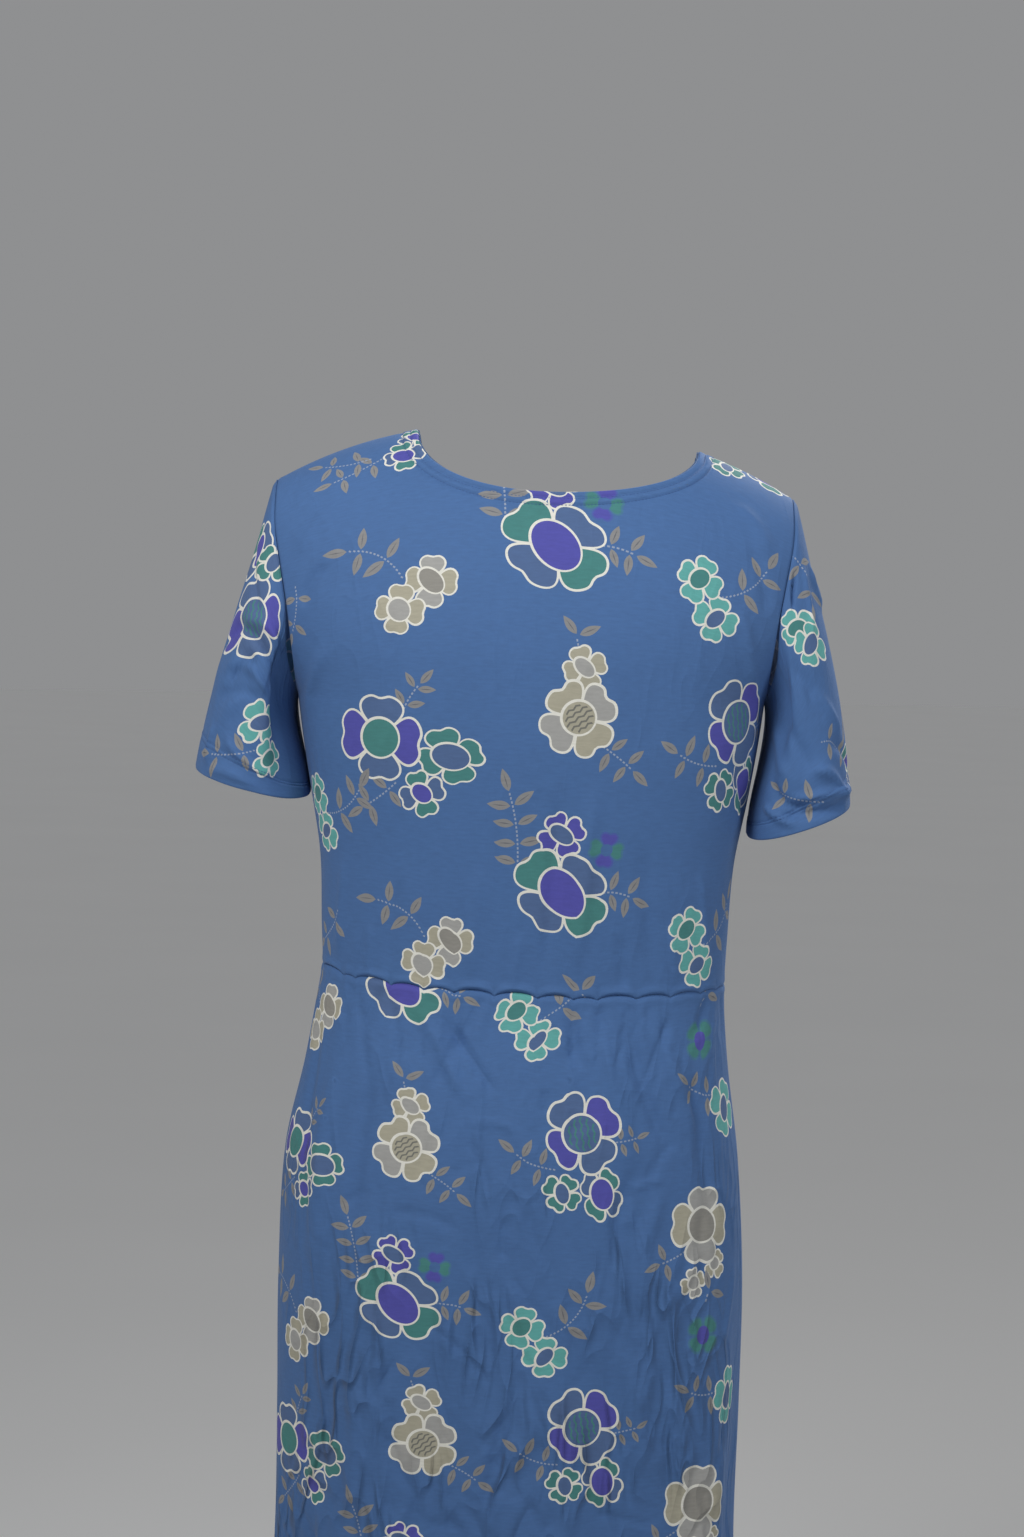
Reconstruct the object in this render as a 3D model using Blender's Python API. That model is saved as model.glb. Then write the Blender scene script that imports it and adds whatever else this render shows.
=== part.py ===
"""Short-sleeved shift dress in light jersey, seamed at the waist, worn on a general figure.

Each cut piece is a closed cloth wall: back and front bodice, back and front skirt, two sleeves.
The walls keep the hollow form that the wearer gives them, and the neck, the cuffs and the hem
are open. Metres. The wearer faces -Y, +X is the wearer's left and +Z is up. The origin lies
between the shoulder seams, where the dress is held up.
"""

import math
from typing import NamedTuple

import bmesh
import bpy
from mathutils import Vector

# Cloth
WALL = 0.0014
HEM_WALL = 0.0022
HEM_WIDTH = 0.0125
SKIRT_HEM_WIDTH = 0.025
SEAM_GAP = 0.0003

# Heights of the cut lines above the origin
WAIST_HEIGHT = -0.427
UNDERARM_HEIGHT = -0.205
SHOULDER_TIP_HEIGHT = -0.040
SHOULDER_CREST_HEIGHT = 0.012
SKIRT_HEM_HEIGHT = -1.040

# Shoulders, armholes and neck opening
SHOULDER_HALF_WIDTH = 0.2060
SHOULDER_FALL_POWER = 2.4
SHOULDER_TILT = 0.020
BACK_ROUNDING = 0.190
BACK_ROUNDING_POWER = 1.8
FRONT_ROUNDING = 0.216
FRONT_ROUNDING_POWER = 1.6
ARMHOLE_DEPTH_SHARE = 0.55
ARMHOLE_WIDEST = 0.45
NECK_LEFT = 0.094
NECK_RIGHT = -0.129
NECK_POWER = 2.15
BACK_NECK_HEIGHT = -0.043
FRONT_NECK_HEIGHT = -0.105

# Waist seam
WAIST_TILT = 0.035
BACK_WAIST_SAG = 0.009
FRONT_WAIST_SAG = 0.005
SCALLOPS = 11
SCALLOP_HEIGHT = 0.0026
SCALLOP_DRIFT = 0.35
SCALLOP_DRIFT_RATE = 2.3
SCALLOP_DRIFT_START = 0.7
BODICE_SCALLOP_FADE = 2
SKIRT_SCALLOP_FADE = 6
PUFF_HEIGHT = 0.0016
PUFF_REACH = 0.020
PUFF_PEAK = 0.007
CREASE_DEPTH = 0.0042
CREASE_REACH = 0.004
BAND_ROWS = (0.0, 0.006, 0.014)

# How finely each piece is divided
PANEL_COLUMNS = 32
NECK_CROWDING = 0.6
ARMHOLE_STEPS = 10
BISECTION_STEPS = 40
SLOPE_STEP = 0.002

BACK = 1
FRONT = -1
LEFT = 1
RIGHT = -1
SECTION_POWER = {BACK: 2.5, FRONT: 2.25}
CLOTH_BLUE = (0.062, 0.141, 0.328, 1.0)
CLOTH_ROUGHNESS = 0.82


class Section(NamedTuple):
    """One level ring of the figure that the cloth lies on."""

    height: float
    half_width: float
    back: float
    front: float
    shift: float


BODICE_SECTIONS = (
    Section(height=-0.427, half_width=0.1610, back=0.100, front=0.101, shift=0.002),
    Section(height=-0.395, half_width=0.1625, back=0.103, front=0.105, shift=0.002),
    Section(height=-0.335, half_width=0.1655, back=0.108, front=0.114, shift=0.001),
    Section(height=-0.285, half_width=0.1740, back=0.113, front=0.124, shift=0.000),
    Section(height=-0.240, half_width=0.1815, back=0.117, front=0.131, shift=0.000),
    Section(height=-0.205, half_width=0.1862, back=0.118, front=0.131, shift=0.000),
)
SKIRT_SECTIONS = (
    Section(height=-1.040, half_width=0.1900, back=0.134, front=0.127, shift=0.009),
    Section(height=-0.880, half_width=0.1850, back=0.130, front=0.122, shift=0.008),
    Section(height=-0.770, half_width=0.1865, back=0.130, front=0.120, shift=0.008),
    Section(height=-0.670, half_width=0.1870, back=0.130, front=0.118, shift=0.008),
    Section(height=-0.570, half_width=0.1820, back=0.125, front=0.114, shift=0.009),
    Section(height=-0.500, half_width=0.1700, back=0.114, front=0.108, shift=0.006),
    Section(height=-0.455, half_width=0.1640, back=0.104, front=0.102, shift=0.004),
    Section(height=-0.427, half_width=0.1610, back=0.100, front=0.101, shift=0.002),
)
BODICE_LEVELS = (0.13, 0.27, 0.42, 0.57, 0.72, 0.86, 1.0)
SKIRT_LEVELS = (0.05, 0.11, 0.18, 0.26, 0.35, 0.45, 0.56, 0.67, 0.78, 0.88, 0.975, 1.0)


class ArmholeRow(NamedTuple):
    """How far out the armhole lies at one share of its height."""

    share: float
    half_width: float


ARMHOLE_ROWS = (
    ArmholeRow(share=0.00, half_width=0.1862),
    ArmholeRow(share=0.20, half_width=0.1892),
    ArmholeRow(share=0.40, half_width=0.1930),
    ArmholeRow(share=0.60, half_width=0.1990),
    ArmholeRow(share=0.80, half_width=0.2050),
    ArmholeRow(share=1.00, half_width=SHOULDER_HALF_WIDTH),
)


class Fold(NamedTuple):
    """A soft fold that runs down a skirt panel; a negative rise is a trough."""

    across: float
    lean: float
    half_width: float
    start: float
    rise: float


SKIRT_FOLDS = {
    BACK: (
        Fold(across=-0.78, lean=-0.03, half_width=0.085, start=0.30, rise=-0.0050),
        Fold(across=-0.60, lean=-0.02, half_width=0.080, start=0.22, rise=0.0045),
        Fold(across=-0.33, lean=0.10, half_width=0.090, start=0.15, rise=-0.0040),
        Fold(across=-0.10, lean=0.06, half_width=0.085, start=0.35, rise=0.0050),
        Fold(across=0.12, lean=0.04, half_width=0.080, start=0.30, rise=-0.0055),
        Fold(across=0.36, lean=0.02, half_width=0.085, start=0.20, rise=0.0045),
        Fold(across=0.58, lean=0.05, half_width=0.080, start=0.38, rise=-0.0050),
        Fold(across=0.80, lean=0.02, half_width=0.070, start=0.42, rise=0.0040),
    ),
    FRONT: (
        Fold(across=-0.74, lean=0.02, half_width=0.085, start=0.28, rise=0.0045),
        Fold(across=-0.50, lean=0.04, half_width=0.090, start=0.34, rise=-0.0050),
        Fold(across=-0.24, lean=0.03, half_width=0.085, start=0.24, rise=0.0045),
        Fold(across=0.04, lean=-0.05, half_width=0.090, start=0.30, rise=-0.0050),
        Fold(across=0.30, lean=-0.04, half_width=0.085, start=0.36, rise=0.0050),
        Fold(across=0.56, lean=-0.02, half_width=0.080, start=0.26, rise=-0.0045),
        Fold(across=0.80, lean=-0.03, half_width=0.075, start=0.32, rise=0.0040),
    ),
}
FOLD_GROWTH = 0.45


class SleeveShape(NamedTuple):
    """Where a sleeve's hem hangs, measured outward from the middle of the figure."""

    side: int
    hem_out: float
    hem_half_width: float
    hem_half_depth: float
    hem_height: float
    hem_slope: float
    back_drop: float
    hem_flare: float


SLEEVES = {
    "left_sleeve": SleeveShape(
        side=LEFT, hem_out=0.2215, hem_half_width=0.0454, hem_half_depth=0.0654,
        hem_height=-0.275, hem_slope=0.24, back_drop=0.005, hem_flare=0.16,
    ),
    "right_sleeve": SleeveShape(
        side=RIGHT, hem_out=0.2155, hem_half_width=0.0404, hem_half_depth=0.0674,
        hem_height=-0.299, hem_slope=0.34, back_drop=0.004, hem_flare=0.04,
    ),
}
SLEEVE_HEM_POWER = 2.4
SLEEVE_START = Vector((0.24, 0.25, -0.90))
SLEEVE_START_SPREAD = 0.02
SLEEVE_END_DROP = -1.0
SLEEVE_LEVELS = (0.0, 0.03, 0.12, 0.23, 0.34, 0.45, 0.56, 0.67, 0.78, 0.89, 0.955, 1.0)
CAP_RISE = 0.0012
CAP_REACH = 0.03


class Dent(NamedTuple):
    """A broad dent or swell in a sleeve, placed by angle round it and share down it."""

    around: float
    down: float
    half_around: float
    half_down: float
    rise: float


SLEEVE_DENTS = {
    "left_sleeve": (
        Dent(around=62, down=0.52, half_around=26, half_down=0.07, rise=-0.0030),
        Dent(around=40, down=0.66, half_around=24, half_down=0.06, rise=0.0025),
        Dent(around=128, down=0.30, half_around=24, half_down=0.28, rise=-0.0120),
        Dent(around=280, down=0.55, half_around=30, half_down=0.09, rise=-0.0030),
        Dent(around=320, down=0.70, half_around=26, half_down=0.08, rise=0.0025),
    ),
    "right_sleeve": (
        Dent(around=70, down=0.80, half_around=22, half_down=0.06, rise=0.0030),
        Dent(around=98, down=0.88, half_around=20, half_down=0.06, rise=-0.0030),
        Dent(around=128, down=0.30, half_around=24, half_down=0.28, rise=-0.0100),
        Dent(around=255, down=0.60, half_around=30, half_down=0.10, rise=-0.0030),
        Dent(around=300, down=0.78, half_around=26, half_down=0.07, rise=0.0025),
    ),
}


def clear_scene():
    """Remove whatever the file holds before the dress is built."""
    for item in list(bpy.data.objects):
        bpy.data.objects.remove(item)


def smooth_step(value):
    """Ease a value from 0 to 1."""
    share = min(max(value, 0.0), 1.0)
    return share * share * (3.0 - 2.0 * share)


def bell(offset, half_width):
    """A soft bump of height 1 that fades within about two half widths."""
    return math.exp(-((offset / half_width) ** 2))


def read_rows(rows, key, column, value):
    """Read a column of a table by a smooth curve through its rows."""
    keys = [getattr(row, key) for row in rows]
    values = [getattr(row, column) for row in rows]
    value = min(max(value, keys[0]), keys[-1])
    last = len(rows) - 1
    place = max(i for i in range(last) if keys[i] <= value)
    width = keys[place + 1] - keys[place]
    share = (value - keys[place]) / width

    def slope(i):
        low = max(i - 1, 0)
        high = min(i + 1, last)
        return (values[high] - values[low]) / (keys[high] - keys[low])

    start = slope(place) * width
    end = slope(place + 1) * width
    return hermite(values[place], values[place + 1], start, end, share)


def hermite(first, second, start, end, share):
    """Curve from first to second that leaves and arrives with the slopes given."""
    square = share * share
    cube = square * share
    return (
        first * (2.0 * cube - 3.0 * square + 1.0)
        + start * (cube - 2.0 * square + share)
        + second * (3.0 * square - 2.0 * cube)
        + end * (cube - square)
    )


def section_factors(angle, power):
    """Width and depth factors of a rounded-box section at an angle from its middle."""
    sine = math.sin(angle)
    cosine = math.cos(angle)
    reach = (abs(sine) ** power + abs(cosine) ** power) ** (-1.0 / power)
    return sine * reach, cosine * reach


def scallop(across):
    """Shape of the gathered waist seam: arcs that meet in points, uneven in width."""
    phase = SCALLOPS * (across + 1.0) / 2.0
    drift = SCALLOP_DRIFT * math.sin(SCALLOP_DRIFT_RATE * phase + SCALLOP_DRIFT_START)
    return abs(math.sin(math.pi * (phase + drift * smooth_step(1.0 - abs(across)))))


def waist_offset(panel, across):
    """Height of the waist seam above its mean level."""
    sag = BACK_WAIST_SAG if panel == BACK else FRONT_WAIST_SAG
    angle = across * math.pi / 2.0
    width = math.sin(angle) * BODICE_SECTIONS[0].half_width
    return WAIST_TILT * width - sag * math.cos(angle) ** 2 + SCALLOP_HEIGHT * scallop(across)


def waist_relief(across, distance):
    """How far the cloth stands out near the waist seam: puffed, then drawn in at the seam."""
    puff = PUFF_HEIGHT * scallop(across) * bell(distance - PUFF_PEAK, PUFF_REACH)
    return puff - CREASE_DEPTH * bell(distance, CREASE_REACH)


def shoulder_line(x, half_width):
    """Height of the shoulder line at x, on a bodice that is half_width wide to its armhole."""
    fall = (abs(x) / half_width) ** SHOULDER_FALL_POWER
    drop = SHOULDER_CREST_HEIGHT - SHOULDER_TIP_HEIGHT
    return SHOULDER_CREST_HEIGHT - drop * fall + SHOULDER_TILT * x


def armhole_factors(panel, share):
    """Width and depth factors of the armhole's edge at a share of its height."""
    power = SECTION_POWER[panel]
    rise = min(share / ARMHOLE_WIDEST, 1.0)
    depth = ARMHOLE_DEPTH_SHARE * math.sqrt(1.0 - (1.0 - rise) ** 2)
    return (1.0 - depth ** power) ** (1.0 / power), depth


def upper_depth(panel, share):
    """Depth of the bodice between the underarm and the shoulder line."""
    chest = BODICE_SECTIONS[-1]
    if panel == BACK:
        full, rounding, power = chest.back, BACK_ROUNDING, BACK_ROUNDING_POWER
    else:
        full, rounding, power = chest.front, FRONT_ROUNDING, FRONT_ROUNDING_POWER
    below = (1.0 - share) * (SHOULDER_CREST_HEIGHT - UNDERARM_HEIGHT)
    left = max(1.0 - below / rounding, 0.0)
    return full * (1.0 - left ** power) ** (1.0 / power)


def upper_point(panel, across, share):
    """Point of the bodice above the underarm; share runs from there to the shoulder line."""
    power = SECTION_POWER[panel]
    edge_width, edge_depth = armhole_factors(panel, share)
    edge_angle = math.atan2(edge_width, edge_depth)
    width, depth = section_factors(across * edge_angle, power)
    half_width = read_rows(ARMHOLE_ROWS, "share", "half_width", share)
    x = half_width * width / edge_width
    y = panel * upper_depth(panel, share) * depth
    top = shoulder_line(x, half_width)
    return Vector((x, y, UNDERARM_HEIGHT + (top - UNDERARM_HEIGHT) * share))


def lower_bodice_point(panel, across, share):
    """Point of the bodice below the underarm; share runs from the waist to the underarm."""
    height = WAIST_HEIGHT + (UNDERARM_HEIGHT - WAIST_HEIGHT) * share
    offset = waist_offset(panel, across) * (1.0 - share) ** BODICE_SCALLOP_FADE
    relief = waist_relief(across, height - WAIST_HEIGHT)
    return section_point(BODICE_SECTIONS, panel, across, height, offset, relief)


def skirt_point(panel, across, share):
    """Point of the skirt; share runs from the waist to the hem."""
    height = WAIST_HEIGHT + (SKIRT_HEM_HEIGHT - WAIST_HEIGHT) * share
    offset = waist_offset(panel, across) * (1.0 - share) ** SKIRT_SCALLOP_FADE
    relief = waist_relief(across, WAIST_HEIGHT - height)
    for fold in SKIRT_FOLDS[panel]:
        middle = fold.across + fold.lean * share
        growth = smooth_step((share - fold.start) / FOLD_GROWTH)
        relief += fold.rise * growth * bell(across - middle, fold.half_width)
    return section_point(SKIRT_SECTIONS, panel, across, height, offset, relief)


def section_point(sections, panel, across, height, offset, relief):
    """Point of a level section, moved up by offset and out by relief."""
    half_width = read_rows(sections, "height", "half_width", height) + relief
    depth = read_rows(sections, "height", "back" if panel == BACK else "front", height) + relief
    shift = read_rows(sections, "height", "shift", height)
    width_factor, depth_factor = section_factors(across * math.pi / 2.0, SECTION_POWER[panel])
    return Vector((shift + half_width * width_factor, panel * depth * depth_factor, height + offset))


def bodice_point(panel, across, level):
    """Point of the bodice: level 0 is the waist, 1 the underarm and 2 the shoulder line."""
    if level <= 1.0:
        return lower_bodice_point(panel, across, level)
    return upper_point(panel, across, level - 1.0)


def neckline_height(panel, x):
    """Height of the neck opening's edge at x, seen from the front."""
    low = BACK_NECK_HEIGHT if panel == BACK else FRONT_NECK_HEIGHT
    middle = (NECK_LEFT + NECK_RIGHT) / 2.0
    share = min(abs(x - middle) / ((NECK_LEFT - NECK_RIGHT) / 2.0), 1.0)
    end = NECK_LEFT if x > middle else NECK_RIGHT
    top = shoulder_line(end, SHOULDER_HALF_WIDTH)
    return low + (top - low) * (1.0 - (1.0 - share ** NECK_POWER) ** (1.0 / NECK_POWER))


def shoulder_column(panel, x):
    """Column of the bodice that meets the shoulder line at x."""
    power = SECTION_POWER[panel]
    edge_width, edge_depth = armhole_factors(panel, 1.0)
    width = abs(x) / SHOULDER_HALF_WIDTH * edge_width
    angle = math.atan2(width, (1.0 - width ** power) ** (1.0 / power))
    return math.copysign(angle / math.atan2(edge_width, edge_depth), x)


def column_top(panel, across):
    """Share of the upper bodice at which a column ends: at the neck opening or the shoulder."""
    right, left = neck_ends(panel)
    if not right < across < left:
        return 1.0
    low, high = 0.0, 1.0
    for _ in range(BISECTION_STEPS):
        middle = (low + high) / 2.0
        point = upper_point(panel, across, middle)
        if point.z < neckline_height(panel, point.x):
            low = middle
        else:
            high = middle
    return low


def neck_ends(panel):
    """Columns at the right and left ends of the neck opening."""
    return shoulder_column(panel, NECK_RIGHT), shoulder_column(panel, NECK_LEFT)


def panel_columns(panel):
    """Columns across a bodice and its skirt, with one at each end of the neck opening."""
    right, left = neck_ends(panel)
    columns = [-1.0]
    for start, end, crowding in ((-1.0, right, 0.0), (right, left, NECK_CROWDING), (left, 1.0, 0.0)):
        count = max(round(PANEL_COLUMNS * (end - start) / 2.0), 2)
        for i in range(1, count + 1):
            even = i / count
            crowded = (1.0 - math.cos(math.pi * even)) / 2.0
            columns.append(start + (end - start) * (even + (crowded - even) * crowding))
    columns[-1] = 1.0
    return columns


def halved(columns):
    """The same columns with one more between each pair."""
    finer = [columns[0]]
    for first, second in zip(columns, columns[1:]):
        finer += [(first + second) / 2.0, second]
    return finer


def surface_normal(point_at, panel, across, level, limits):
    """Unit normal of a panel's surface, across its columns and along its levels."""
    low, high = limits
    left = point_at(panel, max(across - SLOPE_STEP, -1.0), level)
    right = point_at(panel, min(across + SLOPE_STEP, 1.0), level)
    start = point_at(panel, across, max(level - SLOPE_STEP, low))
    end = point_at(panel, across, min(level + SLOPE_STEP, high))
    return (right - left).cross(end - start).normalized()


def armhole_normal(panel, side, share):
    """Normal of both walls where a sleeve meets the bodice: away from the armhole's middle."""
    low = upper_point(panel, side, max(share - SLOPE_STEP, 0.0))
    high = upper_point(panel, side, min(share + SLOPE_STEP, 1.0))
    rise = high - low
    if share <= 0.0 or share >= 1.0:
        return Vector((0.0, 0.0, 1.0 if share >= 1.0 else -1.0))
    return Vector((0.0, panel * rise.z, -panel * rise.y)).normalized()


def flatten(normal, axis):
    """Turn a normal into the plane of a seam by removing one of its components."""
    normal = normal.copy()
    normal[axis] = 0.0
    return normal.normalized()


class Wall:
    """A closed cloth wall: an outer skin, an inner skin and the rims that join them."""

    def __init__(self, closed):
        self.closed = closed
        self.points = []
        self.rows = []

    def add_row(self, outer, inner):
        """Add one row of the wall as two lists of points of the same length."""
        first = len(self.points)
        self.points += outer + inner
        count = len(outer)
        self.rows.append((list(range(first, first + count)),
                          list(range(first + count, first + 2 * count))))

    def strip(self, low, high):
        """Triangles between two rows, one of which may have twice the columns."""
        if self.closed:
            low = low + low[:1]
            high = high + high[:1]
        if len(low) < len(high):
            return self.strip_between(high, low)
        return self.strip_between(low, high)

    @staticmethod
    def strip_between(dense, sparse):
        """Triangles between a row and one with the same columns or half of them."""
        triangles = []
        if len(dense) == len(sparse):
            for i in range(len(dense) - 1):
                triangles.append((dense[i], dense[i + 1], sparse[i + 1]))
                triangles.append((dense[i], sparse[i + 1], sparse[i]))
            return triangles
        for i in range(len(sparse) - 1):
            middle = dense[2 * i + 1]
            triangles.append((sparse[i], dense[2 * i], middle))
            triangles.append((sparse[i], middle, sparse[i + 1]))
            triangles.append((sparse[i + 1], middle, dense[2 * i + 2]))
        return triangles

    def faces(self):
        """All the triangles of the wall."""
        triangles = []
        for (low_out, low_in), (high_out, high_in) in zip(self.rows, self.rows[1:]):
            triangles += self.strip(low_out, high_out)
            triangles += self.strip(low_in, high_in)
        for outer, inner in (self.rows[0], self.rows[-1]):
            triangles += self.strip(outer, inner)
        if not self.closed:
            for end in (0, -1):
                outer = [row[0][end] for row in self.rows]
                inner = [row[1][end] for row in self.rows]
                triangles += self.strip(outer, inner)
        return triangles

    def make_object(self, name):
        """Turn the wall into a named object with its own material."""
        mesh = bpy.data.meshes.new(name)
        mesh.from_pydata([tuple(point) for point in self.points], [], self.faces())
        shell = bmesh.new()
        shell.from_mesh(mesh)
        bmesh.ops.recalc_face_normals(shell, faces=shell.faces)
        shell.to_mesh(mesh)
        shell.free()
        mesh.shade_smooth()
        mesh.materials.append(cloth_material(name))
        item = bpy.data.objects.new(name, mesh)
        bpy.context.scene.collection.objects.link(item)
        return item


def cloth_material(name):
    """Plain blue jersey."""
    material = bpy.data.materials.new(name + "_jersey")
    material.use_nodes = True
    shader = material.node_tree.nodes["Principled BSDF"]
    shader.inputs["Base Color"].default_value = CLOTH_BLUE
    shader.inputs["Roughness"].default_value = CLOTH_ROUGHNESS
    shader.inputs["Metallic"].default_value = 0.0
    return material


def seam_shift(panel):
    """Half of the gap between the back and the front, as a step away from the other."""
    return Vector((0.0, panel * SEAM_GAP / 2.0, 0.0))


def bodice_row(panel, columns, tops, level, rise):
    """Outer and inner points of one bodice row; tops hold where each column ends."""
    outer, inner = [], []
    for across, top in zip(columns, tops):
        place = level if level <= 1.0 else 1.0 + (level - 1.0) * top
        limits = (0.0, 1.0) if level <= 1.0 else (1.0, 2.0)
        point = bodice_point(panel, across, place)
        normal = surface_normal(bodice_point, panel, across, place, limits) * -panel
        on_side = abs(across) == 1.0
        if on_side and place >= 1.0:
            normal = armhole_normal(panel, math.copysign(1.0, across), place - 1.0)
        elif on_side or place >= 2.0:
            normal = flatten(normal, 1)
        if level == 0.0:
            normal = flatten(normal, 2)
        end = bodice_point(panel, across, 1.0 + top)
        in_hem = top < 1.0 and (end - point).length < HEM_WIDTH
        point = point + seam_shift(panel) + Vector((0.0, 0.0, rise))
        outer.append(point)
        inner.append(point - normal * (HEM_WALL if in_hem else WALL))
    return outer, inner


def build_bodice(name, panel):
    """A bodice panel from the waist seam up to the shoulders and the neck opening."""
    columns = panel_columns(panel)
    tops = [column_top(panel, across) for across in columns]
    fine_columns = halved(columns)
    wall = Wall(closed=False)
    for distance in BAND_ROWS:
        level = distance / (UNDERARM_HEIGHT - WAIST_HEIGHT)
        rise = SEAM_GAP / 2.0 if distance == 0.0 else 0.0
        flat_tops = [1.0] * len(fine_columns)
        wall.add_row(*bodice_row(panel, fine_columns, flat_tops, level, rise))
    for level in BODICE_LEVELS:
        wall.add_row(*bodice_row(panel, columns, tops, level, 0.0))
    for step in range(1, ARMHOLE_STEPS + 1):
        share = (1.0 - math.cos(math.pi * step / ARMHOLE_STEPS)) / 2.0
        wall.add_row(*bodice_row(panel, columns, tops, 1.0 + share, 0.0))
    return wall.make_object(name)


def skirt_row(panel, columns, share, rise):
    """Outer and inner points of one skirt row."""
    outer, inner = [], []
    length = WAIST_HEIGHT - SKIRT_HEM_HEIGHT
    for across in columns:
        point = skirt_point(panel, across, share)
        normal = surface_normal(skirt_point, panel, across, share, (0.0, 1.0)) * panel
        if abs(across) == 1.0:
            normal = flatten(normal, 1)
        if share in (0.0, 1.0):
            normal = flatten(normal, 2)
        in_hem = (1.0 - share) * length < SKIRT_HEM_WIDTH
        point = point + seam_shift(panel) + Vector((0.0, 0.0, rise))
        outer.append(point)
        inner.append(point - normal * (HEM_WALL if in_hem else WALL))
    return outer, inner


def build_skirt(name, panel):
    """A skirt panel from the waist seam down to the hem."""
    columns = panel_columns(panel)
    wall = Wall(closed=False)
    for distance in BAND_ROWS:
        share = distance / (WAIST_HEIGHT - SKIRT_HEM_HEIGHT)
        rise = -SEAM_GAP / 2.0 if distance == 0.0 else 0.0
        wall.add_row(*skirt_row(panel, halved(columns), share, rise))
    for share in SKIRT_LEVELS:
        wall.add_row(*skirt_row(panel, columns, share, 0.0))
    return wall.make_object(name)


def armhole_point(side, turn):
    """Point of the armhole at an angle round it: 0 at the shoulder, a right angle at the back."""
    panel = BACK if math.sin(turn) >= 0.0 else FRONT
    return upper_point(panel, side, (1.0 + math.cos(turn)) / 2.0)


def hem_point(shape, turn):
    """Point of a sleeve's hem at an angle round it."""
    width, depth = section_factors(math.pi / 2.0 - turn, SLEEVE_HEM_POWER)
    out = shape.hem_half_width * width
    height = shape.hem_height + shape.hem_slope * out - shape.back_drop * math.sin(turn)
    y = shape.hem_half_depth * depth
    return Vector((shape.side * (shape.hem_out + out), y, height))


def smooth_sleeve_point(name, turn, down):
    """Point of a sleeve before its dents: down is 0 at the armhole and 1 at the hem."""
    shape = SLEEVES[name]
    start = armhole_point(shape.side, turn)
    end = hem_point(shape, turn)
    reach = (end - start).length
    spread = abs(math.sin(turn))
    leave = Vector((
        shape.side * (SLEEVE_START.x + SLEEVE_START_SPREAD * spread),
        SLEEVE_START.y * math.sin(turn),
        SLEEVE_START.z,
    ))
    flare = shape.hem_flare * max(math.cos(turn), 0.0)
    arrive = Vector((shape.side * flare, 0.0, SLEEVE_END_DROP))
    return hermite(start, end, leave * reach, arrive * reach, down)


def sleeve_point(name, turn, down):
    """Point of a sleeve with its dents, and with its cap standing proud of the shoulder seam."""
    point = smooth_sleeve_point(name, turn, down)
    return point + sleeve_normal(smooth_sleeve_point, name, turn, down) * sleeve_rise(name, turn, down)


def sleeve_rise(name, turn, down):
    """How far a sleeve's cap, dents and swells move its cloth outward."""
    rise = CAP_RISE * (1.0 + math.cos(turn)) / 2.0 * smooth_step(down / CAP_REACH)
    for dent in SLEEVE_DENTS[name]:
        away = math.degrees(turn) - dent.around
        away = (away + 180.0) % 360.0 - 180.0
        rise += dent.rise * bell(away, dent.half_around) * bell(down - dent.down, dent.half_down)
    return rise


def sleeve_normal(point_at, name, turn, down):
    """Outward unit normal of a sleeve's surface."""
    around = point_at(name, turn + SLOPE_STEP, down) - point_at(name, turn - SLOPE_STEP, down)
    start = point_at(name, turn, max(down - SLOPE_STEP, 0.0))
    end = point_at(name, turn, min(down + SLOPE_STEP, 1.0))
    return around.cross(end - start).normalized() * -SLEEVES[name].side


def build_sleeve(name):
    """A sleeve from the armhole down to its hem."""
    shape = SLEEVES[name]
    wall = Wall(closed=True)
    turns = [math.pi * step / ARMHOLE_STEPS for step in range(2 * ARMHOLE_STEPS)]
    gap = Vector((shape.side * SEAM_GAP, 0.0, 0.0))
    length = (hem_point(shape, 0.0) - armhole_point(shape.side, 0.0)).length
    for down in SLEEVE_LEVELS:
        in_hem = (1.0 - down) * length < HEM_WIDTH
        outer, inner = [], []
        for turn in turns:
            point = sleeve_point(name, turn, down) + gap
            if down == 0.0:
                panel = BACK if math.sin(turn) >= 0.0 else FRONT
                share = (1.0 + math.cos(turn)) / 2.0
                normal = armhole_normal(panel, shape.side, round(share, 9))
            else:
                normal = sleeve_normal(sleeve_point, name, turn, down)
            outer.append(point)
            inner.append(point - normal * (HEM_WALL if in_hem else WALL))
        wall.add_row(outer, inner)
    return wall.make_object(name)


def main():
    """Build the whole dress."""
    clear_scene()
    build_bodice("back_bodice", BACK)
    build_bodice("front_bodice", FRONT)
    build_skirt("back_skirt", BACK)
    build_skirt("front_skirt", FRONT)
    for name in SLEEVES:
        build_sleeve(name)


main()
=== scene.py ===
"""Shift dress in printed drapey jersey: cloth, print, folds, hems and stitching, in a plain studio."""

import logging
import math
import random
from collections.abc import Callable
from dataclasses import dataclass
from enum import Enum

import bpy
import numpy as np
from mathutils import Euler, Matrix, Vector, kdtree
from mathutils.geometry import delaunay_2d_cdt


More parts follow.
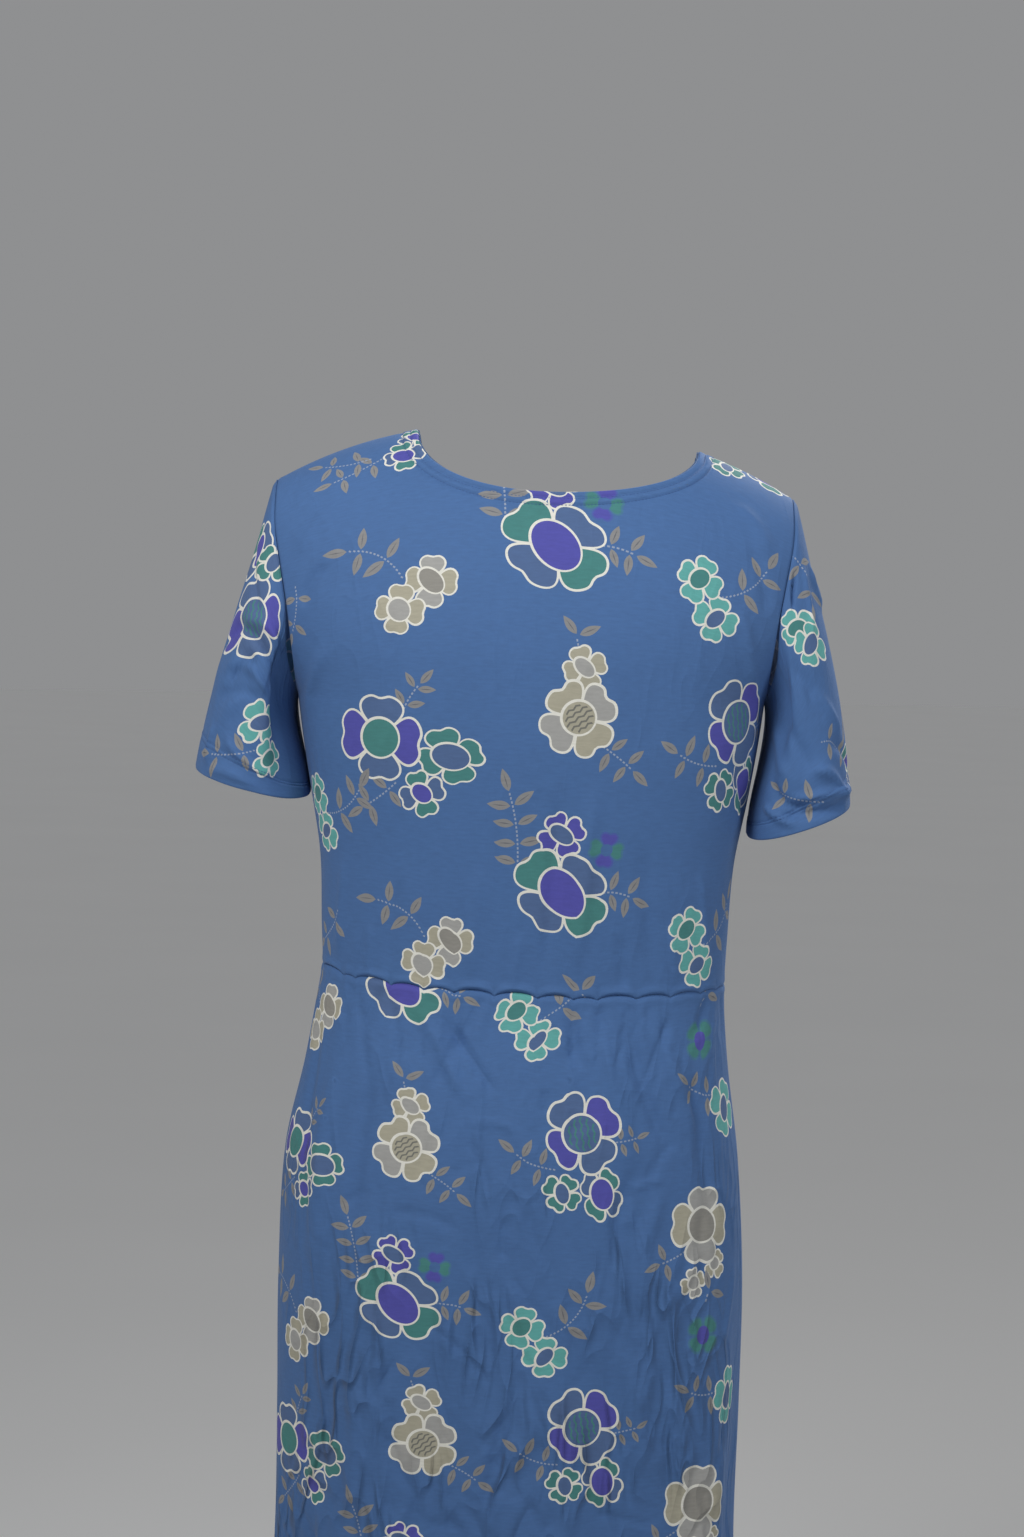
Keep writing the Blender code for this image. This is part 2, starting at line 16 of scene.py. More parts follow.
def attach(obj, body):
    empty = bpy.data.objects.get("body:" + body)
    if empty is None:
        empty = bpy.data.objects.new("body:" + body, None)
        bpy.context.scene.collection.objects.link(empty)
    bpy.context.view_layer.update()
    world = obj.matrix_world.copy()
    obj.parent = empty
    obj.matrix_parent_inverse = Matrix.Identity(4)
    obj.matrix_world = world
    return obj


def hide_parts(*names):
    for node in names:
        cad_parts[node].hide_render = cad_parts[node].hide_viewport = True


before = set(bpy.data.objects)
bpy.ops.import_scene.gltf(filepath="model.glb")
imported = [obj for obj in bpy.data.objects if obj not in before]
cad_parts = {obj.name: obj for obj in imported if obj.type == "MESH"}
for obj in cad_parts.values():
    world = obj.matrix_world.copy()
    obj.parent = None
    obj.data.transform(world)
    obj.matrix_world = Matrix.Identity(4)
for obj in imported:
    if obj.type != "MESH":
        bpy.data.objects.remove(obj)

log = logging.getLogger("shift_dress")

Array = np.ndarray
Material = bpy.types.Material
Socket = bpy.types.NodeSocket
Pair = tuple[float, float]
Triple = tuple[float, float, float]

BODY = "root"
MM = 0.001


# ---- Inks and finishes ----


class Ink(Enum):
    """Colours of the cloth and its print, as red, green and blue from 0 to 255."""

    GROUND = (74, 110, 162)
    TEAL = (72, 132, 130)
    VIOLET = (84, 84, 170)
    SLATE = (82, 107, 150)
    AQUA = (98, 172, 168)
    BEIGE = (172, 168, 150)
    PALE_GREY = (164, 164, 162)
    DARK_GREY = (146, 144, 138)
    DEEP_GREY = (118, 118, 112)
    TAUPE = (139, 139, 140)
    TAUPE_DARK = (104, 106, 114)
    STEM = (150, 162, 184)
    WHITE = (228, 227, 218)
    BLURRED_TEAL = (74, 120, 150)
    BLURRED_VIOLET = (78, 98, 168)


def linear(colour: Triple) -> Triple:
    """Turn a colour of 0 to 255 into linear light of 0 to 1."""
    shares = [value / 255.0 for value in colour]
    return tuple(s / 12.92 if s <= 0.04045 else ((s + 0.055) / 1.055) ** 2.4 for s in shares)


def show(name: str, data: bpy.types.ID) -> bpy.types.Object:
    """Put an object with this data in the scene."""
    made = bpy.data.objects.new(name, data)
    bpy.context.scene.collection.objects.link(made)
    return made


class NodeBuilder:
    """Short way to add and join the shader nodes of one material."""

    def __init__(self, name: str) -> None:
        """Start a material of this name with its shader."""
        self.material = bpy.data.materials.new(name)
        self.material.use_nodes = True
        self.tree = self.material.node_tree

    def feed(self, node: bpy.types.Node, values: dict[str | int, object]) -> None:
        """Set the inputs of a node, or join them to outputs."""
        for key, value in values.items():
            if isinstance(value, Socket):
                self.tree.links.new(value, node.inputs[key])
            else:
                node.inputs[key].default_value = value

    def add(self, kind: str, output: str | int = 0, **values: object) -> Socket:
        """Add a node.

        Args:
            kind: The node's identifier, without its prefix.
            output: The output that is wanted.
            values: Properties of the node, and values or outputs for its inputs of that name.

        Returns:
            The output.
        """
        node = self.tree.nodes.new(f"ShaderNode{kind}")
        inputs = {}
        for key, value in values.items():
            if hasattr(node, key):
                setattr(node, key, value)
            else:
                inputs[key.replace("_", " ")] = value
        self.feed(node, inputs)
        return node.outputs[output]

    def math(self, operation: str, first: Socket | float, second: Socket | float = 0.0) -> Socket:
        """Add a sum of two values."""
        node = self.tree.nodes.new("ShaderNodeMath")
        node.operation = operation
        self.feed(node, {0: first, 1: second})
        return node.outputs[0]

    def weigh(self, *terms: tuple[Socket, float]) -> Socket:
        """Add the total of some values, each times its weight."""
        first, *others = [self.math("MULTIPLY", *term) for term in terms]
        for other in others:
            first = self.math("ADD", first, other)
        return first

    def finish(self, **values: object) -> Material:
        """Set or join the shader's inputs, named with low lines for spaces, and give the material."""
        shader = self.tree.nodes["Principled BSDF"]
        self.feed(shader, {key.replace("_", " "): value for key, value in values.items()})
        return self.material


@dataclass(frozen=True)
class JerseyFinish:
    """Look of the printed jersey; depths in metres, scales per metre."""

    name: str = "printed_jersey"
    roughness: float = 0.78
    grain_roughness: float = 0.20
    sheen: float = 0.07
    sheen_roughness: float = 0.45
    sheen_tint: tuple[float, ...] = (0.80, 0.87, 1.0, 1.0)
    specular: float = 0.28
    wrong_side_fade: float = 0.62
    wrong_side_tone: Triple = (104, 132, 176)
    wales: float = 1500.0
    courses: float = 1250.0
    wale_share: float = 0.6
    course_share: float = 0.4
    knit_tone: float = 0.03
    knit_height: float = 0.5
    slub_scale: Triple = (0.25, 1.2, 1.0)
    grain_scale: float = 420.0
    grain_tone: float = 0.34
    grain_height: float = 0.8
    cloud_scale: float = 14.0
    cloud_tone: float = 0.10
    bump_strength: float = 0.35
    bump_depth: float = 0.00025
    wrinkle_turns: Triple = (-32.0, 22.0, -58.0)
    wrinkle_pitch: Pair = (28.0, 9.5)
    wrinkle_waver: float = 0.7
    wrinkle_sharpness: float = 9.0
    wrinkle_power: float = 1.6
    wrinkle_patch: Pair = (0.42, 0.66)
    wrinkle_patch_scale: float = 9.0
    wrinkle_depth: float = 0.0062
    wrinkle_span: Pair = (-0.44, -0.90)
    wrinkle_share: Pair = (0.07, 1.0)

    def wrinkles(self, build: NodeBuilder, flat: Socket, spot: Socket) -> Socket:
        """Fine ridged wrinkles that run mostly down the cloth and grow towards the hem.

        Args:
            build: The material being built.
            flat: Cloth coordinates in metres.
            spot: Place on the dress.

        Returns:
            Their height, from 0 to about 1.
        """
        parts = []
        for turn in self.wrinkle_turns:
            turned = build.add("Mapping", Rotation=(0.0, 0.0, math.radians(turn)), Location=(turn,) * 3,
                               Scale=(*self.wrinkle_pitch, 1.0), Vector=flat)
            wave = build.add("TexNoise", Scale=1.0, Detail=1.2, Distortion=self.wrinkle_waver, Vector=turned)
            away = build.math("ABSOLUTE", build.math("SUBTRACT", wave, 0.5))
            ridge = build.math("SUBTRACT", 1.0, build.math("MULTIPLY", away, self.wrinkle_sharpness))
            ridge = build.math("POWER", build.math("MAXIMUM", ridge), self.wrinkle_power)
            patch_scale = self.wrinkle_patch_scale + abs(turn) / 24.0
            patch = build.add("TexNoise", Scale=patch_scale, Detail=1.0, Vector=flat)
            low, high = self.wrinkle_patch
            fade = build.add("MapRange", From_Min=low, From_Max=high, Value=patch)
            parts.append(build.math("MULTIPLY", ridge, fade))
        total = build.math("ADD", build.math("ADD", parts[0], parts[1]), parts[2])
        high, low = self.wrinkle_span
        least, most = self.wrinkle_share
        down = build.add("MapRange", From_Min=high, From_Max=low, To_Min=least, To_Max=most,
                         Value=build.add("SeparateXYZ", "Z", Vector=spot))
        return build.math("MULTIPLY", total, down)

    def material(self) -> Material:
        """Make the knit: inks from the mesh, wales and courses, slubs, mottling, wrinkles and sheen."""
        build = NodeBuilder(self.name)
        flat = build.add("UVMap", uv_map="cloth")
        spot = build.add("TexCoord", "Object")
        place = build.add("SeparateXYZ", Vector=flat).node
        wale = build.math("SINE", build.math("MULTIPLY", place.outputs["X"], self.wales * math.tau))
        course = build.math("SINE", build.math("MULTIPLY", place.outputs["Y"], self.courses * math.tau))
        knit = build.weigh((wale, self.wale_share), (course, self.course_share))
        slub = build.add("Mapping", Scale=self.slub_scale, Vector=flat)
        mottle = build.add("TexNoise", Scale=self.grain_scale, Detail=3.0, Roughness=0.6, Vector=slub)
        cloud = build.add("TexNoise", Scale=self.cloud_scale, Detail=2.0, Vector=spot)
        grain = build.math("SUBTRACT", mottle, 0.5)
        drift = build.math("SUBTRACT", cloud, 0.5)
        tone = build.weigh((grain, self.grain_tone), (drift, self.cloud_tone), (knit, self.knit_tone))
        colour = build.add("HueSaturation", Color=build.add("Attribute", attribute_name="ink"),
                           Value=build.math("ADD", tone, 1.0))
        crumple = build.add("Bump", Strength=1.0, Distance=self.wrinkle_depth,
                            Height=self.wrinkles(build, flat, spot))
        height = build.weigh((knit, self.knit_height), (grain, self.grain_height))
        bump = build.add("Bump", Strength=self.bump_strength, Distance=self.bump_depth, Height=height,
                         Normal=crumple)
        rough = build.math("ADD", build.math("MULTIPLY", grain, self.grain_roughness), self.roughness)
        return build.finish(Base_Color=colour, Roughness=rough, Normal=bump, Specular_IOR_Level=self.specular,
                            Sheen_Weight=self.sheen, Sheen_Roughness=self.sheen_roughness,
                            Sheen_Tint=self.sheen_tint)


@dataclass(frozen=True)
class PlainFinish:
    """Look of one colour that is a little uneven in tone."""

    name: str
    colour: Triple
    roughness: float
    scale: float
    swing: float
    level: float

    def material(self) -> Material:
        """Make the material."""
        build = NodeBuilder(self.name)
        noise = build.add("TexNoise", Scale=self.scale, Vector=build.add("TexCoord", "Object"))
        tone = build.math("ADD", build.math("MULTIPLY", noise, self.swing), self.level)
        colour = build.add("HueSaturation", Color=(*linear(self.colour), 1.0), Value=tone)
        return build.finish(Base_Color=colour, Roughness=self.roughness)


THREAD = PlainFinish("sewing_thread", (60, 94, 148), roughness=0.55, scale=2600.0, swing=0.5, level=0.75)
FLOOR = PlainFinish("pale_floor", (254, 254, 253), roughness=0.9, scale=1.5, swing=0.04, level=0.98)


# ---- Surfaces of the worn dress ----


class Side(Enum):
    """Back or front of the dress, as the sign of y."""

    BACK = 1
    FRONT = -1


def columns(*values: Array | float) -> Array:
    """Put coordinates side by side as points."""
    return np.stack(np.broadcast_arrays(*values), axis=-1)


def running_length(points: Array) -> Array:
    """Distance along a line of points at each of them."""
    return np.concatenate(((0.0,), np.cumsum(np.linalg.norm(np.diff(points, axis=0), axis=1))))


def hermite(first: Array, second: Array, start: Array, end: Array, share: Array) -> Array:
    """Curve from first to second that leaves and arrives with the slopes given."""
    square = share * share
    cube = square * share
    return (first * (2 * cube - 3 * square + 1) + start * (cube - 2 * square + share)
            + second * (3 * square - 2 * cube) + end * (cube - square))


def smooth_step(value: Array) -> Array:
    """Ease values from 0 to 1."""
    share = np.clip(value, 0.0, 1.0)
    return share * share * (3.0 - 2.0 * share)


def bell(offset: Array, half_width: float) -> Array:
    """A soft bump of height 1 that fades within about two half widths."""
    return np.exp(-((offset / half_width) ** 2))


def normalised(vectors: Array) -> Array:
    """Vectors scaled to length 1."""
    return vectors / np.maximum(np.linalg.norm(vectors, axis=-1, keepdims=True), 1e-12)


def section_factors(angle: Array, power: float) -> tuple[Array, Array]:
    """Width and depth factors of a section at angles from its middle; a power of 2 is an oval."""
    sine, cosine = np.sin(angle), np.cos(angle)
    reach = (np.abs(sine) ** power + np.abs(cosine) ** power) ** (-1.0 / power)
    return sine * reach, cosine * reach


class SmoothTable:
    """A column of values read by a smooth curve through its rows."""

    def __init__(self, keys: tuple[float, ...], values: tuple[float, ...]) -> None:
        """Keep the rows: rising keys, and the value at each."""
        self.keys, self.values = np.array(keys), np.array(values)
        low = np.maximum(np.arange(len(keys)) - 1, 0)
        high = np.minimum(np.arange(len(keys)) + 1, len(keys) - 1)
        self.slopes = (self.values[high] - self.values[low]) / (self.keys[high] - self.keys[low])

    def read(self, key: Array) -> Array:
        """Read the column at these keys."""
        key = np.clip(key, self.keys[0], self.keys[-1])
        i = np.clip(np.searchsorted(self.keys, key, side="right") - 1, 0, len(self.keys) - 2)
        width = self.keys[i + 1] - self.keys[i]
        share = (key - self.keys[i]) / width
        return hermite(self.values[i], self.values[i + 1], self.slopes[i] * width,
                       self.slopes[i + 1] * width, share)


@dataclass(frozen=True)
class Figure:
    """Sizes of the worn dress, in metres, as in the part's source."""

    waist_height: float = -0.427
    underarm_height: float = -0.205
    shoulder_tip_height: float = -0.040
    shoulder_crest_height: float = 0.012
    hem_height: float = -1.040
    shoulder_half_width: float = 0.2060
    shoulder_fall_power: float = 2.4
    shoulder_tilt: float = 0.020
    armhole_depth_share: float = 0.55
    armhole_widest: float = 0.45
    neck_left: float = 0.094
    neck_right: float = -0.129
    neck_power: float = 2.15
    waist_tilt: float = 0.035

    def shoulder_line(self, x: Array, half_width: Array) -> Array:
        """Height of the shoulder line at x, on a bodice half_width wide to its armhole."""
        fall = (np.abs(x) / half_width) ** self.shoulder_fall_power
        drop = self.shoulder_crest_height - self.shoulder_tip_height
        return self.shoulder_crest_height - drop * fall + self.shoulder_tilt * x


FIGURE = Figure()
ROUNDING = {Side.BACK: (0.190, 1.8), Side.FRONT: (0.216, 1.6)}
SECTION_POWER = {Side.BACK: 2.5, Side.FRONT: 2.25}
NECK_HEIGHT = {Side.BACK: -0.043, Side.FRONT: -0.105}
WAIST_SAG = {Side.BACK: 0.009, Side.FRONT: 0.005}

# Heights that the tables of the bodice and the skirt are written for
BODICE_LEVELS = (-0.427, -0.395, -0.335, -0.285, -0.240, -0.205)
SKIRT_LEVELS = (-1.040, -0.880, -0.770, -0.670, -0.570, -0.500, -0.455, -0.427)
SKIRT_FEWER_LEVELS = SKIRT_LEVELS[:2] + SKIRT_LEVELS[3:]
ARMHOLE_SHARES = (0.0, 0.2, 0.4, 0.6, 0.8, 1.0)
BODICE_HALF_WIDTH = SmoothTable(BODICE_LEVELS, (0.1610, 0.1625, 0.1655, 0.1740, 0.1815, 0.1862))
BODICE_SHIFT = SmoothTable(BODICE_LEVELS[:4] + BODICE_LEVELS[5:], (0.002, 0.002, 0.001, 0.0, 0.0))
BODICE_DEPTH = {
    Side.BACK: SmoothTable(BODICE_LEVELS, (0.100, 0.103, 0.108, 0.113, 0.117, 0.118)),
    Side.FRONT: SmoothTable(BODICE_LEVELS, (0.101, 0.105, 0.114, 0.124, 0.131, 0.131)),
}
ARMHOLE_HALF_WIDTH = SmoothTable(ARMHOLE_SHARES, (0.1862, 0.1892, 0.1930, 0.1990, 0.2050, 0.2060))
SKIRT_HALF_WIDTH = SmoothTable(SKIRT_LEVELS, (0.190, 0.185, 0.1865, 0.187, 0.182, 0.170, 0.164, 0.161))
SKIRT_SHIFT = SmoothTable(SKIRT_FEWER_LEVELS, (0.009, 0.008, 0.008, 0.009, 0.006, 0.004, 0.002))
SKIRT_DEPTH = {
    Side.BACK: SmoothTable(SKIRT_FEWER_LEVELS, (0.134, 0.130, 0.130, 0.125, 0.114, 0.104, 0.100)),
    Side.FRONT: SmoothTable(SKIRT_LEVELS, (0.127, 0.122, 0.120, 0.118, 0.114, 0.108, 0.102, 0.101)),
}

# Places across the waist seam, in metres, where the elastic stitching pins the cloth
WAIST_PINS = {
    Side.BACK: (-0.1625, -0.1561, -0.1461, -0.1307, -0.1075, -0.0836, -0.0559, -0.0382, -0.0112, 0.0220,
                0.0520, 0.0736, 0.0967, 0.1229, 0.1337, 0.1569, 0.1655),
    Side.FRONT: (-0.1625, -0.1500, -0.1290, -0.1050, -0.0760, -0.0560, -0.0230, 0.0100, 0.0340, 0.0640,
                 0.0850, 0.1130, 0.1350, 0.1520, 0.1655),
}
ARC_SLOPE = 0.13
ARC_MOST = 0.0042


@dataclass(frozen=True)
class Fold:
    """A large soft fold down a skirt panel; a negative rise is a trough."""

    across: float
    lean: float
    half_width: float
    start: float
    rise: float
    growth: float = 0.45

    def read(self, u: Array, v: Array) -> Array:
        """Rise of the cloth at u and v."""
        grown = smooth_step((v - self.start) / self.growth)
        return self.rise * grown * bell(u - self.across - self.lean * v, self.half_width)


SKIRT_FOLDS = {
    Side.BACK: (
        Fold(-0.78, -0.03, 0.085, 0.30, -0.0050), Fold(-0.60, -0.02, 0.080, 0.22, 0.0045),
        Fold(-0.33, 0.10, 0.090, 0.15, -0.0040), Fold(-0.10, 0.06, 0.085, 0.35, 0.0050),
        Fold(0.12, 0.04, 0.080, 0.30, -0.0055), Fold(0.36, 0.02, 0.085, 0.20, 0.0045),
        Fold(0.58, 0.05, 0.080, 0.38, -0.0050), Fold(0.80, 0.02, 0.070, 0.42, 0.0040),
    ),
    Side.FRONT: (
        Fold(-0.74, 0.02, 0.085, 0.28, 0.0045), Fold(-0.50, 0.04, 0.090, 0.34, -0.0050),
        Fold(-0.24, 0.03, 0.085, 0.24, 0.0045), Fold(0.04, -0.05, 0.090, 0.30, -0.0050),
        Fold(0.30, -0.04, 0.085, 0.36, 0.0050), Fold(0.56, -0.02, 0.080, 0.26, -0.0045),
        Fold(0.80, -0.03, 0.075, 0.32, 0.0040),
    ),
}


def waist_arc(side: Side, x: Array) -> Array:
    """Height of the cloth's arcs between the pins of the waist seam."""
    pins = np.array(WAIST_PINS[side])
    i = np.clip(np.searchsorted(pins, x, side="right") - 1, 0, len(pins) - 2)
    width = pins[i + 1] - pins[i]
    share = np.clip((x - pins[i]) / width, 0.0, 1.0)
    return np.minimum(width * ARC_SLOPE, ARC_MOST) * np.sqrt(np.maximum(np.sin(np.pi * share), 0.0))


def fullness(side: Side, u: Array) -> Array:
    """How full the cloth is between the pins of the waist seam, from 0 to 1."""
    return waist_arc(side, np.sin(u * np.pi / 2.0) * BODICE_HALF_WIDTH.values[0]) / ARC_MOST


def waist_line(side: Side, u: Array) -> Array:
    """Height of the waist seam above its mean level, with its tilt, sag and arcs."""
    angle = u * np.pi / 2.0
    x = np.sin(angle) * BODICE_HALF_WIDTH.values[0]
    return FIGURE.waist_tilt * x - WAIST_SAG[side] * np.cos(angle) ** 2 + waist_arc(side, x)


class Surface:
    """A smooth sheet of the dress, without its creases, addressed by u across and v along."""

    v_range = (0.0, 1.0)
    spine = 0.5
    outward = 1.0

    def at(self, u: Array, v: Array) -> Array:
        """Points of the sheet."""
        raise NotImplementedError


class BodiceSurface(Surface):
    """Back or front bodice: v is 0 at the waist, 1 at the underarm and 2 at the shoulder line."""

    v_range = (0.0, 2.0)
    spine = 0.0
    halvings = 36

    def __init__(self, side: Side) -> None:
        """Choose the side."""
        self.side = side
        self.outward = -float(side.value)

    def at(self, u: Array, v: Array) -> Array:
        """Points of the bodice."""
        u, v = np.broadcast_arrays(u, v)
        share = (1.0 - np.cos(np.pi * np.clip(v - 1.0, 0.0, 1.0))) / 2.0
        return np.where((v <= 1.0)[..., None], self.lower(u, np.clip(v, 0.0, 1.0)), self.upper(u, share))

    def lower(self, u: Array, v: Array) -> Array:
        """Points between the waist and the underarm."""
        height = FIGURE.waist_height + (FIGURE.underarm_height - FIGURE.waist_height) * v
        width, depth = section_factors(u * np.pi / 2.0, SECTION_POWER[self.side])
        x = BODICE_SHIFT.read(height) + BODICE_HALF_WIDTH.read(height) * width
        y = self.side.value * BODICE_DEPTH[self.side].read(height) * depth
        return columns(x, y, height + waist_line(self.side, u) * (1.0 - v) ** 2)

    def armhole_factors(self, share: Array) -> tuple[Array, Array]:
        """Width and depth factors of the armhole's edge."""
        power = SECTION_POWER[self.side]
        rise = np.minimum(share / FIGURE.armhole_widest, 1.0)
        depth = FIGURE.armhole_depth_share * np.sqrt(1.0 - (1.0 - rise) ** 2)
        return (1.0 - depth ** power) ** (1.0 / power), depth

    def upper(self, u: Array, share: Array) -> Array:
        """Points between the underarm and the shoulder line.

        Args:
            u: Places across.
            share: Share of the armhole's height.

        Returns:
            The points.
        """
        edge_width, edge_depth = self.armhole_factors(share)
        edge_angle = np.arctan2(edge_width, edge_depth)
        width, depth = section_factors(u * edge_angle, SECTION_POWER[self.side])
        half_width = ARMHOLE_HALF_WIDTH.read(share)
        x = half_width * width / edge_width
        rounding, power = ROUNDING[self.side]
        below = (1.0 - share) * (FIGURE.shoulder_crest_height - FIGURE.underarm_height)
        left = np.maximum(1.0 - below / rounding, 0.0)
        full = BODICE_DEPTH[self.side].values[-1]
        y = self.side.value * full * (1.0 - left ** power) ** (1.0 / power) * depth
        top = FIGURE.shoulder_line(x, half_width)
        return columns(x, y, FIGURE.underarm_height + (top - FIGURE.underarm_height) * share)

    def neckline_height(self, x: Array) -> Array:
        """Height of the neck opening's edge.

        Args:
            x: Places across.

        Returns:
            The heights.
        """
        middle = (FIGURE.neck_left + FIGURE.neck_right) / 2.0
        share = np.minimum(np.abs(x - middle) / ((FIGURE.neck_left - FIGURE.neck_right) / 2.0), 1.0)
        end = np.where(x > middle, FIGURE.neck_left, FIGURE.neck_right)
        top = FIGURE.shoulder_line(end, FIGURE.shoulder_half_width)
        low = NECK_HEIGHT[self.side]
        power = FIGURE.neck_power
        return low + (top - low) * (1.0 - (1.0 - share ** power) ** (1.0 / power))

    def shoulder_column(self, x: float) -> float:
        """Column u that meets the shoulder line."""
        power = SECTION_POWER[self.side]
        edge_width, edge_depth = self.armhole_factors(np.array(1.0))
        width = abs(x) / FIGURE.shoulder_half_width * edge_width
        angle = math.atan2(width, (1.0 - width ** power) ** (1.0 / power))
        return math.copysign(angle / math.atan2(edge_width, edge_depth), x)

    def neck_edge(self, u: Array) -> Array:
        """The v at which columns end on the neckline, found by halving.

        Args:
            u: The columns.

        Returns:
            Their last v.
        """
        low, high = np.ones_like(u), np.full_like(u, 2.0)
        for _ in range(self.halvings):
            middle = (low + high) / 2.0
            point = self.at(u, middle)
            under = point[:, 2] < self.neckline_height(point[:, 0])
            low, high = np.where(under, middle, low), np.where(under, high, middle)
        return low


class SkirtSurface(Surface):
    """Back or front skirt: v is 0 at the waist and 1 at the hem."""

    def __init__(self, side: Side) -> None:
        """Choose the side."""
        self.side = side
        self.outward = float(side.value)

    def at(self, u: Array, v: Array) -> Array:
        """Points of the skirt.

        Args:
            u: Places across.
            v: Places along.

        Returns:
            The points.
        """
        u, v = np.broadcast_arrays(u, v)
        height = FIGURE.waist_height + (FIGURE.hem_height - FIGURE.waist_height) * v
        width, depth = section_factors(u * np.pi / 2.0, SECTION_POWER[self.side])
        rise = sum(fold.read(u, v) for fold in SKIRT_FOLDS[self.side])
        x = SKIRT_SHIFT.read(height) + (SKIRT_HALF_WIDTH.read(height) + rise) * width
        y = self.side.value * (SKIRT_DEPTH[self.side].read(height) + rise) * depth
        return columns(x, y, height + waist_line(self.side, u) * (1.0 - v) ** 6)


@dataclass(frozen=True)
class SleeveHang:
    """Where a sleeve's hem hangs, measured outward from the middle of the figure."""

    side: int
    hem_out: float
    hem_half_width: float
    hem_half_depth: float
    hem_height: float
    hem_slope: float
    back_drop: float
    hem_flare: float


class SleeveSurface(Surface):
    """A sleeve: u runs round it from the underarm over the shoulder, v from the armhole to the hem."""

    start = (0.24, 0.25, -0.90)
    start_spread = 0.02
    hem_power = 2.4

    def __init__(self, hang: SleeveHang) -> None:
        """Keep the sleeve's place."""
        self.hang = hang
        self.outward = -float(hang.side)
        self.yokes = {side: BodiceSurface(side) for side in Side}

    def armhole(self, turn: Array) -> Array:
        """Points of the armhole."""
        share = (1.0 + np.cos(turn)) / 2.0
        u = np.full_like(share, float(self.hang.side))
        back, front = (self.yokes[side].upper(u, share) for side in (Side.BACK, Side.FRONT))
        return np.where((np.sin(turn) >= 0.0)[..., None], back, front)

    def hem(self, turn: Array) -> Array:
        """Points of the hem."""
        hang = self.hang
        width, depth = section_factors(np.pi / 2.0 - turn, self.hem_power)
        out = hang.hem_half_width * width
        height = hang.hem_height + hang.hem_slope * out - hang.back_drop * np.sin(turn)
        return columns(hang.side * (hang.hem_out + out), hang.hem_half_depth * depth, height)

    def at(self, u: Array, v: Array) -> Array:
        """Points of the sleeve.

        Args:
            u: Places round it.
            v: Places along.

        Returns:
            The points.
        """
        u, v = np.broadcast_arrays(u, v)
        turn = u * np.pi
        side = self.hang.side
        first, last = self.armhole(turn), self.hem(turn)
        reach = np.linalg.norm(last - first, axis=-1, keepdims=True)
        out = side * (self.start[0] + self.start_spread * np.abs(np.sin(turn)))
        leave = columns(out, self.start[1] * np.sin(turn), self.start[2])
        flare = side * self.hang.hem_flare * np.maximum(np.cos(turn), 0.0)
        return hermite(first, last, leave * reach, columns(flare, 0.0, -1.0) * reach, v[..., None])


# ---- Flat cloth coordinates ----


